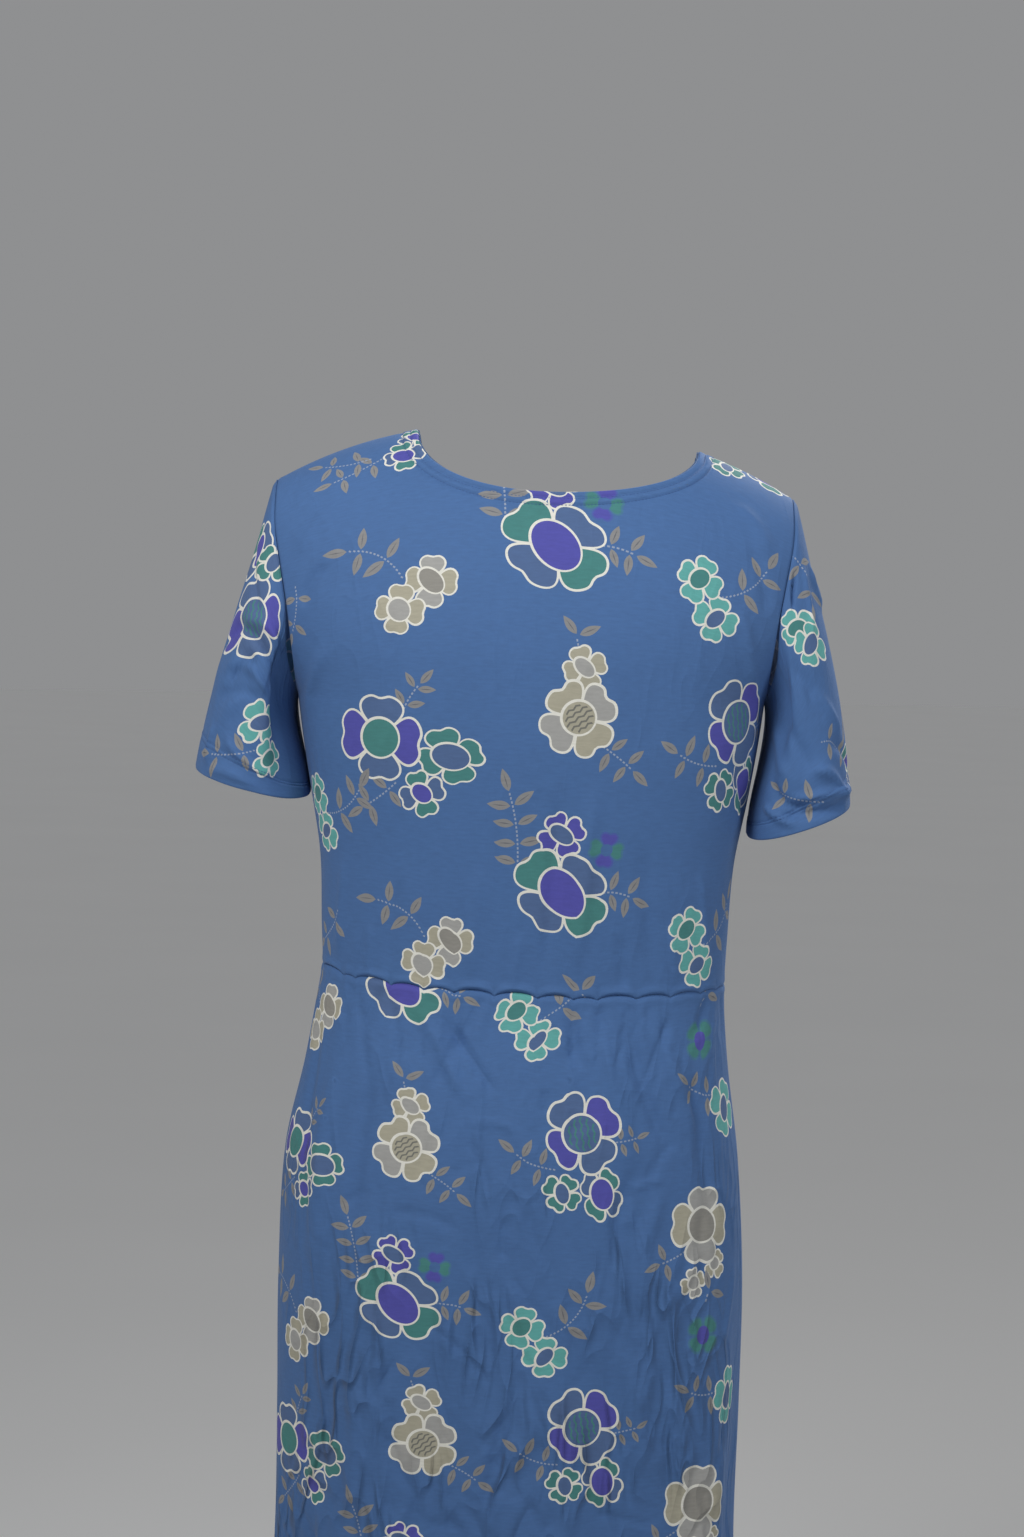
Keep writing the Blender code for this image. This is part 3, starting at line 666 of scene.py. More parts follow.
class Chart:
    """Flat cloth coordinates of a surface: a is metres across, b is metres along."""

    row_count = 161
    column_count = 257
    nudge = 0.0004

    def __init__(self, surface: Surface) -> None:
        """Measure the surface.

        Args:
            surface: The smooth sheet.
        """
        self.surface = surface
        self.v = np.linspace(*surface.v_range, self.row_count)
        self.u = np.linspace(-1.0, 1.0, self.column_count)
        grid = surface.at(self.u[None, :], self.v[:, None])
        steps = np.linalg.norm(np.diff(grid, axis=1), axis=2)
        arc = np.concatenate((np.zeros((self.row_count, 1)), np.cumsum(steps, axis=1)), axis=1)
        self.arc = arc - arc[:, self.column_count // 2][:, None]
        self.b = running_length(surface.at(np.full(self.row_count, surface.spine), self.v))
        share = np.linspace(0.0, 1.0, self.column_count)
        self.inverse = np.array([np.interp(share * (arc[-1] - arc[0]) + arc[0], arc, self.u)
                                 for arc in self.arc])

    def limits(self, b: Array) -> tuple[Array, Array]:
        """Lowest and highest a of the cloth at b."""
        return np.interp(b, self.b, self.arc[:, 0]), np.interp(b, self.b, self.arc[:, -1])

    def blend(self, grid: Array, v: Array, column: Array) -> Array:
        """Read a grid between its rows and columns.

        Args:
            grid: Values by row and column of the chart.
            v: Places along.
            column: Column numbers, not always whole.

        Returns:
            The values.
        """
        row = (v - self.v[0]) / (self.v[1] - self.v[0])
        j = np.clip(row.astype(int), 0, self.row_count - 2)
        i = np.clip(column.astype(int), 0, self.column_count - 2)
        f, g = row - j, column - i
        low = grid[j, i] * (1 - g) + grid[j, i + 1] * g
        high = grid[j + 1, i] * (1 - g) + grid[j + 1, i + 1] * g
        return low * (1 - f) + high * f

    def flat(self, u: Array, v: Array) -> Array:
        """Cloth coordinates of surface coordinates, as rows of a and b."""
        column = (np.clip(u, -1.0, 1.0) + 1.0) / (self.u[1] - self.u[0])
        return columns(self.blend(self.arc, np.clip(v, *self.surface.v_range), column),
                       np.interp(v, self.v, self.b))

    def surface_place(self, flat: Array) -> tuple[Array, Array]:
        """Surface coordinates of a place on the cloth."""
        b = np.clip(flat[..., 1], self.b[0], self.b[-1])
        v = np.interp(b, self.b, self.v)
        low, high = self.limits(b)
        share = np.clip((flat[..., 0] - low) / (high - low), 0.0, 1.0)
        return self.blend(self.inverse, v, share * (self.column_count - 1)), v

    def point(self, flat: Array) -> Array:
        """Points in space of cloth coordinates, without creases."""
        return self.surface.at(*self.surface_place(flat))

    def slopes(self, place: Callable[[Array], Array], flat: Array, here: Array,
               reach: float) -> tuple[Array, Array, Array]:
        """How places in space change over the cloth, by steps that stay on it.

        Args:
            place: Gives the points in space of cloth coordinates.
            flat: Cloth coordinates.
            here: Their points.
            reach: Length of the steps.

        Returns:
            Change for a metre of a and for a metre of b, and the outward normal.
        """
        low, high = self.limits(flat[..., 1])
        step_a = np.where(flat[..., 0] > (low + high) / 2.0, -reach, reach)
        step_b = np.where(flat[..., 1] > self.b[-1] / 2.0, -reach, reach)
        along_a = (place(flat + columns(step_a, 0.0)) - here) / step_a[..., None]
        along_b = (place(flat + columns(0.0, step_b)) - here) / step_b[..., None]
        return along_a, along_b, normalised(np.cross(along_a, along_b)) * self.surface.outward

    def tangents(self, flat: Array) -> tuple[Array, Array, Array]:
        """Change of place for a metre of a and for a metre of b, and the outward normal."""
        return self.slopes(self.point, flat, self.point(flat), self.nudge)


# ---- The photograph's view ----


@dataclass(frozen=True)
class PhotoView:
    """Camera of the photograph. It looks at the back of the dress from 2.6 m."""

    image_width: float = 1024.0
    image_height: float = 1537.0
    place: tuple[float, float, float] = (0.0, 2.6, -0.10)
    aim_height: float = -0.2628
    roll: float = 1.1
    pixels_per_metre: float = 1250.0
    shift_pixels: float = -18.0
    sensor: float = 36.0
    nearest: float = 0.05
    search_rounds: int = 4
    hidden_cost: float = 40.0

    def rotation(self) -> Euler:
        """Rotation of the camera, which looks along -Y with a little pitch and roll."""
        pitch = math.atan2(self.aim_height - self.place[2], self.place[1])
        turns = ((0.0, 0.0, math.pi), (math.pi / 2.0 + pitch, 0.0, 0.0), (0.0, 0.0, math.radians(self.roll)))
        facing, lean, roll = (Euler(turn).to_matrix() for turn in turns)
        return (facing @ lean @ roll).to_euler()

    def focal_pixels(self) -> float:
        """Distance of the image plane, in pixels."""
        return self.pixels_per_metre * self.place[1]

    def add_camera(self) -> None:
        """Put the camera in the scene."""
        data = bpy.data.cameras.new("photo_camera")
        data.sensor_fit = "AUTO"
        data.sensor_width = self.sensor
        data.lens = self.sensor * self.focal_pixels() / self.image_height
        data.shift_x = self.shift_pixels / self.image_height
        data.clip_start = self.nearest
        camera = show("photo_camera", data)
        camera.location = self.place
        camera.rotation_euler = self.rotation()
        bpy.context.scene.camera = camera

    def project(self, points: Array) -> Array:
        """Pixels of points in space."""
        local = (points - np.array(self.place)) @ np.array(self.rotation().to_matrix())
        scale = self.focal_pixels() / -local[..., 2]
        x = self.image_width / 2.0 - self.shift_pixels + local[..., 0] * scale
        return columns(x, self.image_height / 2.0 - local[..., 1] * scale)

    def cloth_place(self, chart: Chart, pixel: Pair) -> Array:
        """Cloth coordinates of the part of a piece that shows nearest to a pixel.

        Args:
            chart: The piece's flat coordinates.
            pixel: Pixel x and y of the photograph.

        Returns:
            The two cloth coordinates.
        """
        across, along = (-1.0, 1.0), chart.surface.v_range
        u_range, v_range = across, along
        for _ in range(self.search_rounds):
            u, v = np.meshgrid(np.linspace(*u_range, 61), np.linspace(*v_range, 81))
            points = chart.surface.at(u, v)
            gap = np.linalg.norm(self.project(points) - np.array(pixel), axis=-1)
            gap = gap + self.hidden_cost * (points[..., 1] < 0.0)
            spot = np.unravel_index(np.argmin(gap), gap.shape)
            u_step, v_step = (u_range[1] - u_range[0]) / 30.0, (v_range[1] - v_range[0]) / 40.0
            u_range = max(u[spot] - u_step, across[0]), min(u[spot] + u_step, across[1])
            v_range = max(v[spot] - v_step, along[0]), min(v[spot] + v_step, along[1])
        return chart.flat(np.array([u[spot]]), np.array([v[spot]]))[0]


VIEW = PhotoView()


# ---- Print ----


@dataclass(frozen=True)
class Flower:
    """A four-petalled flower of the print; places and sizes in millimetres of cloth.

    The petals are listed from the one that points along turn, turning left.
    """

    x: float
    y: float
    reach: float
    turn: float
    petals: tuple[Ink, Ink, Ink, Ink]
    heart: Ink
    heart_long: float
    heart_wide: float
    heart_turn: float = 0.0
    notch: float = 0.09
    oval: float = 0.0
    oval_turn: float = 0.0
    stripes: Ink | None = None
    outlined: bool = True


@dataclass(frozen=True)
class Sprig:
    """A dotted stem with pairs of leaves and one at its tip; millimetres of cloth."""

    start: Pair
    end: Pair
    pairs: int
    leaf: float
    tip: bool = True
    bend: float = 0.10
    fan: float = 72.0
    bare: float = 0.25


ALL_TEAL = (Ink.TEAL,) * 4
ALL_VIOLET = (Ink.VIOLET,) * 4
ALL_AQUA = (Ink.AQUA,) * 4
ALL_BEIGE = (Ink.BEIGE,) * 4
SLATE_TEAL = (Ink.SLATE, Ink.TEAL) * 2
VIOLET_SLATE = (Ink.VIOLET, Ink.SLATE) * 2
VIOLET_TEAL = (Ink.VIOLET, Ink.TEAL) * 2
BEIGE_PALE = (Ink.BEIGE, Ink.PALE_GREY) * 2
PALE_BEIGE = (Ink.PALE_GREY, Ink.BEIGE) * 2


class Motif(Enum):
    """Sprigs and flowers in drawing order, each motif placed by the middle of its main flower."""

    CROWNED = (
        Sprig((-33, 18), (-41, 74), 4, 16.5, bend=-0.04, bare=0.05),
        Sprig((29, 1), (52, -4), 2, 14.5, bend=0.06, fan=74),
        Flower(31, 32, 14, 80, VIOLET_TEAL, Ink.GROUND, 4.5, 4.5, outlined=False, notch=0.12),
        Flower(-2, 42.5, 18.3, 25, ALL_VIOLET, Ink.SLATE, 9.3, 5.5, -35, 0.13),
        Flower(0, 0, 34.5, 46, SLATE_TEAL, Ink.VIOLET, 19.2, 13.2, -50, oval=0.09, oval_turn=-32),
    )
    BEIGE_PAIR = (
        Sprig((-9, 12), (-52, 38), 2, 18.5, bend=-0.14, fan=80, bare=0.38),
        Flower(11.5, 10.4, 20, -4, BEIGE_PALE, Ink.DARK_GREY, 10.6, 6.9, -45, 0.08),
        Flower(-11.5, -10.4, 19.3, -8, ALL_BEIGE, Ink.PALE_GREY, 8.5, 7.4, -50, 0.08),
    )
    AQUA_PAIR = (
        Sprig((10, 2), (51, 33), 2, 18.5, bend=-0.13, fan=72, bare=0.36),
        Flower(6.5, -14.5, 19, -16, ALL_AQUA, Ink.SLATE, 8.3, 5.4, 38, 0.09),
        Flower(-6.5, 14.5, 19, -26, ALL_AQUA, Ink.TEAL, 8.2, 6.5, 40, 0.09),
    )
    BEIGE_TALL = (
        Sprig((15, -19), (41, -39), 2, 15.5, bend=0.03, fan=78, bare=0.3),
        Sprig((-1, 53), (-2, 61), 1, 18, tip=False, fan=48),
        Flower(3.5, 37.5, 18, 18, ALL_BEIGE, Ink.PALE_GREY, 8.5, 5.2, -42, 0.08),
        Flower(0, 0, 29.6, 35, PALE_BEIGE, Ink.BEIGE, 12, 12, 35, 0.14, stripes=Ink.DEEP_GREY),
    )
    TEAL_HEARTED = (
        Sprig((16.5, 18), (30, 41), 2, 13.5, bend=0.05, fan=62),
        Sprig((13, -31), (-14, -52), 2, 15.5, bend=0.03, fan=84),
        Flower(52.6, -10.4, 23.5, 20, ALL_TEAL, Ink.SLATE, 13.6, 8.9, -8, oval=0.12, oval_turn=-8),
        Flower(32, -38, 17.6, 20, SLATE_TEAL, Ink.VIOLET, 7.7, 5.9, -35, 0.11),
        Flower(0, 0, 32.8, -3, VIOLET_SLATE, Ink.TEAL, 14, 13.6, 0, 0.09),
    )
    VIOLET_CROSSED = (
        Sprig((-19, -31), (-53, -20), 2, 15.5, bend=0.08, fan=86, bare=0.35),
        Sprig((27, -6), (45, -1), 2, 11.5, bend=-0.03, fan=86),
        Flower(-13.6, -49.5, 17, -30, ALL_TEAL, Ink.SLATE, 8, 5.3, 100, 0.12),
        Flower(18.4, -48, 20.5, -30, SLATE_TEAL, Ink.VIOLET, 12.2, 8.8, 100, oval=0.12, oval_turn=100),
        Flower(0, 0, 33.5, 40, VIOLET_SLATE, Ink.SLATE, 15.2, 14.6, 100, oval=0.06, oval_turn=100,
               stripes=Ink.TEAL),
    )
    BEIGE_ROUND = (
        Sprig((-17, -18), (-38, -27), 1, 14, bend=0.02, fan=88),
        Flower(12.5, -30, 12.4, 40, ALL_BEIGE, Ink.PALE_GREY, 5, 4.6, 0, 0.1),
        Flower(-9.6, -42.4, 12.8, 15, BEIGE_PALE, Ink.PALE_GREY, 5.2, 4.8, 0, 0.1),
        Flower(0, 0, 29.5, -4, BEIGE_PALE, Ink.DARK_GREY, 13.2, 12.4, 0, 0.1),
    )
    FAINT = (
        Sprig((2, 20), (5, 27), 1, 13, tip=False, fan=55),
        Flower(0, 0, 13.5, 45, ALL_TEAL, Ink.VIOLET, 5.0, 6.0, 0, 0.02, outlined=False),
    )
    AQUA_SINGLE = (
        Sprig((-18, 7), (-44, 9), 2, 14, fan=84),
        Flower(0, 0, 22.5, -12, ALL_AQUA, Ink.SLATE, 9.8, 6.4, 85, 0.1),
    )
    SMALL_PAIR = (
        Sprig((-14, -8), (-58, -26), 2, 15.5, bend=0.05, fan=80),
        Flower(10, 14, 16.5, 30, SLATE_TEAL, Ink.VIOLET, 8, 5.5, -20, 0.11),
        Flower(0, -10, 17.8, 10, SLATE_TEAL, Ink.VIOLET, 8.6, 6.4, -15, 0.12),
    )
    CROSSED = (Flower(0, 0, 35, 0, VIOLET_SLATE, Ink.SLATE, 16, 14, 90, 0.1, stripes=Ink.TEAL),)
    LONE_VIOLET = (Flower(0, 0, 25, 60, SLATE_TEAL, Ink.VIOLET, 13, 8, 82, 0.1),)
    LONE_SLATE = (Flower(0, 0, 20, 50, ALL_TEAL, Ink.SLATE, 9, 6, 80, 0.1),)
    LONE_AQUA = (Flower(0, 0, 18.5, 32, ALL_AQUA, Ink.SLATE, 9.4, 5.8, 8, 0.1),)
    LONE_TEAL = (Flower(0, 0, 17.5, 30, ALL_AQUA, Ink.TEAL, 8.4, 5.8, 18, 0.1),)
    LEAF_PAIR = (Sprig((0, -8), (1, 0), 1, 16, tip=False, fan=48),)
    LEAF_SPRIG = (Sprig((22, -6), (-18, 6), 2, 15),)


@dataclass(frozen=True)
class Region:
    """A closed outline of the print with its ink."""

    outline: Array
    ink: Ink


class PrintDrawing:
    """Draws the flowers and leaves of the print as closed outlines, all from formulas; in mm."""

    border = 1.9
    small_border = 1.5
    small_reach = 24.0
    blur = 1.3
    point_step = 2.1
    dash_pitch = 3.1
    dash_corners = ((-0.9, -0.62), (0.9, -0.62), (0.9, 0.62), (-0.9, 0.62))
    half_angle = 47.5
    corner_power = 4.2
    small_corner_power = 3.3
    notch_angle = 9.0
    wobble = 0.05
    skew = 0.0016
    heart_shift = (-0.3, 0.25)
    stripe_rows = (-0.66, -0.34, 0.0, 0.34, 0.66)
    stripe_width = 1.5
    stripe_swing = 1.5
    stripe_fold = 3.6
    leaf_half_width = 0.20
    leaf_stalk = 1.6
    tip_leaf = 1.05
    rib = ((0.10, 0.0), (0.45, -0.42), (0.80, 0.0), (0.45, 0.42))

    @staticmethod
    def turned(points: Array, degrees: float) -> Array:
        """Points turned about the origin."""
        cosine, sine = math.cos(math.radians(degrees)), math.sin(math.radians(degrees))
        return points @ np.array(((cosine, sine), (-sine, cosine)))

    def ring(self, long: float, wide: float, turn: float) -> Array:
        """An oval outline with these half axes."""
        angle = np.linspace(0.0, math.tau, max(int(math.tau * long / self.point_step), 14), endpoint=False)
        return self.turned(columns(long * np.cos(angle), wide * np.sin(angle)), turn)

    def petal(self, reach: float, notch: float, dice: random.Random) -> Array:
        """A petal along +x that fills its quarter of the flower and ends in two lobes.

        Args:
            reach: Length from the flower's middle.
            notch: Depth of the dip between the lobes, as a share of reach.
            dice: Source of the hand-drawn unevenness.

        Returns:
            Points of the outline, evenly spaced.
        """
        sweep = np.linspace(-math.pi / 2.0, math.pi / 2.0, 600)
        bend = 2.0 / (self.small_corner_power if reach < self.small_reach else self.corner_power)
        angle = self.half_angle * np.sign(np.sin(sweep)) * np.abs(np.sin(sweep)) ** bend
        radius = reach * (1.0 + self.wobble * dice.uniform(-1.0, 1.0)) * np.cos(sweep) ** bend
        middle = dice.uniform(-4.0, 4.0)
        dip = notch * bell(angle - middle, self.notch_angle)
        radius = radius * (1.0 - dip + self.skew * middle * angle / 10.0)
        points = radius[:, None] * columns(np.cos(np.radians(angle)), np.sin(np.radians(angle)))
        run = running_length(points)
        stops = np.linspace(0.0, run[-1], max(int(run[-1] / self.point_step), 18), endpoint=False)
        return columns(*(np.interp(stops, run, axis) for axis in points.T))

    @staticmethod
    def inset(outline: Array, distance: float) -> Array:
        """The outline drawn in by a distance on all sides."""
        step = np.roll(outline, -1, axis=0) - np.roll(outline, 1, axis=0)
        return outline + normalised(columns(-step[:, 1], step[:, 0])) * distance

    def flower(self, flower: Flower, scale: float) -> list[Region]:
        """Draw a flower.

        Args:
            flower: Its sizes and inks.
            scale: How much larger it will be printed; its white border keeps its width.

        Returns:
            Its regions, the lowest first.
        """
        dice = random.Random(int(flower.reach * 97 + flower.x * 13 + flower.y * 7))
        border = (self.small_border if flower.reach < self.small_reach else self.border) / scale
        if not flower.outlined:
            border = self.blur
        under, over = [], []
        for i, ink in enumerate(flower.petals):
            turn = flower.turn + 90.0 * i
            shape = self.turned(self.petal(flower.reach, flower.notch, dice), turn - flower.oval_turn)
            shape = self.turned(shape * np.array((1.0 + flower.oval, 1.0 - flower.oval)), flower.oval_turn)
            shift = np.array((dice.uniform(-0.3, 0.3), dice.uniform(-0.3, 0.3)))
            under.append(Region(shape, self.edge_ink(flower, ink)))
            over.append(Region(self.inset(shape, border) + shift, ink))
        regions = under + over
        long, wide = flower.heart_long, flower.heart_wide
        if flower.outlined:
            rim = self.ring(long + border, wide + border, flower.heart_turn)
            regions.append(Region(rim + np.array(self.heart_shift), Ink.WHITE))
        regions.append(Region(self.ring(long, wide, flower.heart_turn), flower.heart))
        if flower.stripes is not None:
            regions += self.stripes(flower)
        middle = np.array((flower.x, flower.y))
        return [Region(region.outline + middle, region.ink) for region in regions]

    @staticmethod
    def edge_ink(flower: Flower, ink: Ink) -> Ink:
        """Ink at a petal's edge: white, or a blurred tone of its own."""
        blurred = Ink.BLURRED_VIOLET if ink is Ink.VIOLET else Ink.BLURRED_TEAL
        return Ink.WHITE if flower.outlined else blurred

    def stripes(self, flower: Flower) -> list[Region]:
        """Draw zigzag stripes across a flower's round heart."""
        regions = []
        for row in self.stripe_rows:
            half = flower.heart_long * (math.sqrt(1.0 - (abs(row) + 0.16) ** 2) - 0.05)
            x = np.linspace(-half, half, 2 * max(round(half / self.stripe_fold), 1) + 1)
            y = flower.heart_wide * row + np.where(np.arange(len(x)) % 2 == 0, -0.5, 0.5) * self.stripe_swing
            low, high = columns(x, y - self.stripe_width / 2.0), columns(x, y + self.stripe_width / 2.0)
            outline = self.turned(np.concatenate((low, high[::-1])), flower.heart_turn)
            regions.append(Region(outline, flower.stripes))
        return regions

    def leaf(self, base: Array, degrees: float, length: float) -> list[Region]:
        """Draw a pointed leaf with a darker rib.

        Args:
            base: Where it starts.
            degrees: The way it points.
            length: Its length.

        Returns:
            The leaf and its rib.
        """
        share = np.linspace(0.0, 1.0, 9)
        half = self.leaf_half_width * length * np.sin(np.pi * share ** 0.85) ** 0.9
        low, high = columns(length * share, -half), columns(length * share, half)
        blade = np.concatenate((low, high[1:-1][::-1]))
        shapes = ((blade, Ink.TAUPE), (np.array(self.rib) * np.array((length, 1.0)), Ink.TAUPE_DARK))
        return [Region(self.turned(outline, degrees) + base, ink) for outline, ink in shapes]

    def sprig(self, sprig: Sprig) -> list[Region]:
        """Draw a dotted stem and its leaves.

        Args:
            sprig: Its ends and sizes.

        Returns:
            Its regions.
        """
        start, end = np.array(sprig.start, float), np.array(sprig.end, float)
        dice = random.Random(int(start @ (31.0, 17.0) + end @ (7.0, 3.0)))
        step = end - start
        length = float(np.linalg.norm(step))
        heading = math.degrees(math.atan2(step[1], step[0]))
        bow = np.array((-step[1], step[0])) * sprig.bend * 4.0
        regions = []
        for i in range(max(int(length / self.dash_pitch), 2)):
            share = min((i + 0.5) * self.dash_pitch / length, 1.0)
            middle = start + step * share + bow * share * (1.0 - share)
            regions.append(Region(self.turned(np.array(self.dash_corners), heading) + middle, Ink.STEM))
        last = 0.80 if sprig.tip else 1.0
        for i in range(sprig.pairs):
            part = i / (sprig.pairs - 1) if sprig.pairs > 1 else 1.0
            share = sprig.bare + (last - sprig.bare) * part
            middle = start + step * share + bow * share * (1.0 - share)
            way = heading + math.degrees(math.atan(4.0 * sprig.bend * (1.0 - 2.0 * share)))
            for hand in (-1.0, 1.0):
                fan = way + hand * (sprig.fan + dice.uniform(-9.0, 9.0))
                size = sprig.leaf * dice.uniform(0.92, 1.06)
                stalk = self.turned(np.array(((self.leaf_stalk, 0.0),)), fan)[0]
                regions += self.leaf(middle + stalk, fan, size)
        if sprig.tip:
            way = heading - math.degrees(math.atan(4.0 * sprig.bend))
            regions += self.leaf(end, way, sprig.leaf * self.tip_leaf)
        return regions

    def motif(self, motif: Motif, scale: float) -> list[Region]:
        """All the regions of a motif, the lowest first, for the scale that it is printed at."""
        drawn = (self.sprig(part) if isinstance(part, Sprig) else self.flower(part, scale)
                 for part in motif.value)
        return [region for regions in drawn for region in regions]


# ---- Creases ----


@dataclass(frozen=True)
class Crease:
    """A ridge between two places of the cloth, or a trough where the rise is negative; those in mm."""

    start: Pair
    end: Pair
    half_width: float
    rise: float
    bend: float = 0.0


@dataclass(frozen=True)
class Crinkles:
    """A patch of many fine creases that run roughly one way; metres of cloth, widths in mm."""

    low: Pair
    high: Pair
    count: int
    length: Pair
    half_width: Pair
    rise: float
    heading: float
    spread: float
    seed: int

    def creases(self) -> list[Crease]:
        """The fine creases of the patch, the same each time."""
        dice = random.Random(self.seed)
        found = []
        for _ in range(self.count):
            x, y = (dice.uniform(low, high) for low, high in zip(self.low, self.high))
            heading = math.radians(self.heading + dice.gauss(0.0, self.spread))
            half = dice.uniform(*self.length) / 2.0
            reach = (math.cos(heading) * half, math.sin(heading) * half)
            found.append(Crease((x - reach[0], y - reach[1]), (x + reach[0], y + reach[1]),
                                dice.uniform(*self.half_width), self.rise * dice.uniform(-1.0, 1.0),
                                dice.uniform(-0.12, 0.12)))
        return found


def within(points: Array, low: Array, high: Array) -> Array:
    """Indices of the points between two corners."""
    return np.nonzero(np.all((points > low) & (points < high), axis=1))[0]


def inside(outline: Array, points: Array) -> Array:
    """Find which points lie inside a closed outline.

    Args:
        outline: The corners of the outline.
        points: The points to test.

    Returns:
        True for each point inside.
    """
    held = np.zeros(len(points), bool)
    x, y = points[:, 0], points[:, 1]
    for start, end in zip(outline, np.roll(outline, -1, axis=0)):
        if start[1] != end[1]:
            crossed = (start[1] > y) != (end[1] > y)
            held ^= crossed & (x < start[0] + (y - start[1]) * (end[0] - start[0]) / (end[1] - start[1]))
    return held


class Relief:
    """Sums the creases of a piece at any place of its cloth."""

    fade = 0.28
    gain = 2.3
    margin = 2.6

    def __init__(self, creases: list[Crease]) -> None:
        """Keep the creases."""
        self.lines = [(np.array(crease.start), np.array(crease.end), crease.half_width * MM,
                       crease.rise * MM, crease.bend) for crease in creases]

    def read(self, flat: Array) -> Array:
        """Rise of the cloth at each of these cloth coordinates, in metres."""
        total = np.zeros(len(flat))
        for start, end, half_width, rise, bend in self.lines:
            step = end - start
            length = float(np.hypot(*step))
            margin = self.margin * half_width + abs(bend) * length
            near = within(flat, np.minimum(start, end) - margin, np.maximum(start, end) + margin)
            away = flat[near] - start
            along = away @ step / length ** 2
            across = (away[:, 0] * step[1] - away[:, 1] * step[0]) / length
            across = across - bend * length * 4.0 * along * (1.0 - along)
            ends = smooth_step(along / self.fade) * smooth_step((1.0 - along) / self.fade)
            total[near] += self.gain * rise * bell(across, half_width) * ends
        return total


# ---- Cloth pieces ----


@dataclass(frozen=True)
class Cloth:
    """How the cloth is meshed, in metres."""

    thickness: float = 0.0009
    hem_fade: float = 0.0015
    rim_bulge: float = 0.42
    clearance: float = 0.45
    row_pitch: float = 0.87
    step: float = 0.0005
    stitch_row: float = 0.004
    side_insets: Pair = (0.0014, 0.0032)
    side_clearance: float = 0.004


CLOTH = Cloth()


@dataclass(frozen=True)
class TurnedHem:
    """A turned and stitched edge: its width, how far it stands up and its stitch lines, in metres."""

    width: float
    rise: float
    lines: Pair
    groove: float
    half_groove: float = 0.0010

    def relief(self, distance: Array) -> Array:
        """Rise of the cloth."""
        turned = smooth_step(distance / 0.0012) * smooth_step((self.width + 0.0008 - distance) / 0.0016)
        total = self.rise * turned
        for line in self.lines:
            total = total - self.groove * bell(distance - line, self.half_groove)
        return total

    def guides(self) -> list[float]:
        """Distances from the edge where the mesh needs lines."""
        found = [0.0006, 0.0014, self.width - 0.0014, self.width + 0.0010]
        found += [line + side for line in self.lines for side in (-0.0011, 0.0, 0.0011)]
        return sorted({round(distance, 4) for distance in found})


@dataclass(frozen=True)
class WaistSeam:
    """The gathered seam: the bodice's lip puffs out between the pins, and the skirt rolls; metres."""

    lines: tuple[float, ...] = (0.0005, 0.0011, 0.0018, 0.0027, 0.0038, 0.0054, 0.0076, 0.0105)
    reach: float = 0.02
    lip_out: float = 0.0022
    lip_reach: float = 0.0040
    lip_tuck: float = 0.0005
    lip_tuck_reach: float = 0.0010
    skirt_tuck: Pair = (0.0002, 0.0011)
    skirt_tuck_reach: float = 0.0013
    skirt_roll: float = 0.0006
    skirt_roll_place: Pair = (0.0045, 0.0030)


NECK_HEM = TurnedHem(width=0.0125, rise=0.0010, lines=(0.0062, 0.0122), groove=0.0009)
CUFF_HEM = TurnedHem(width=0.0200, rise=0.0004, lines=(0.0170, 0.0200), groove=0.0005)
SKIRT_HEM = TurnedHem(width=0.0250, rise=0.0005, lines=(0.0215, 0.0250), groove=0.0005)
WAIST = WaistSeam()
SEAM_DEPTH = 0.0011
SEAM_HALF_WIDTH = 0.0016


def leg(start: Pair, end: Pair, count: int) -> Array:
    """Evenly spaced points from one place towards another, without the last."""
    return columns(*(np.linspace(low, high, count, endpoint=False) for low, high in zip(start, end)))


def loop(corners: tuple[Pair, ...], counts: tuple[int, ...]) -> Array:
    """A closed line through the corners, with so many points from each to the next."""
    return np.concatenate([leg(*ends) for ends in zip(corners, corners[1:] + corners[:1], counts)])


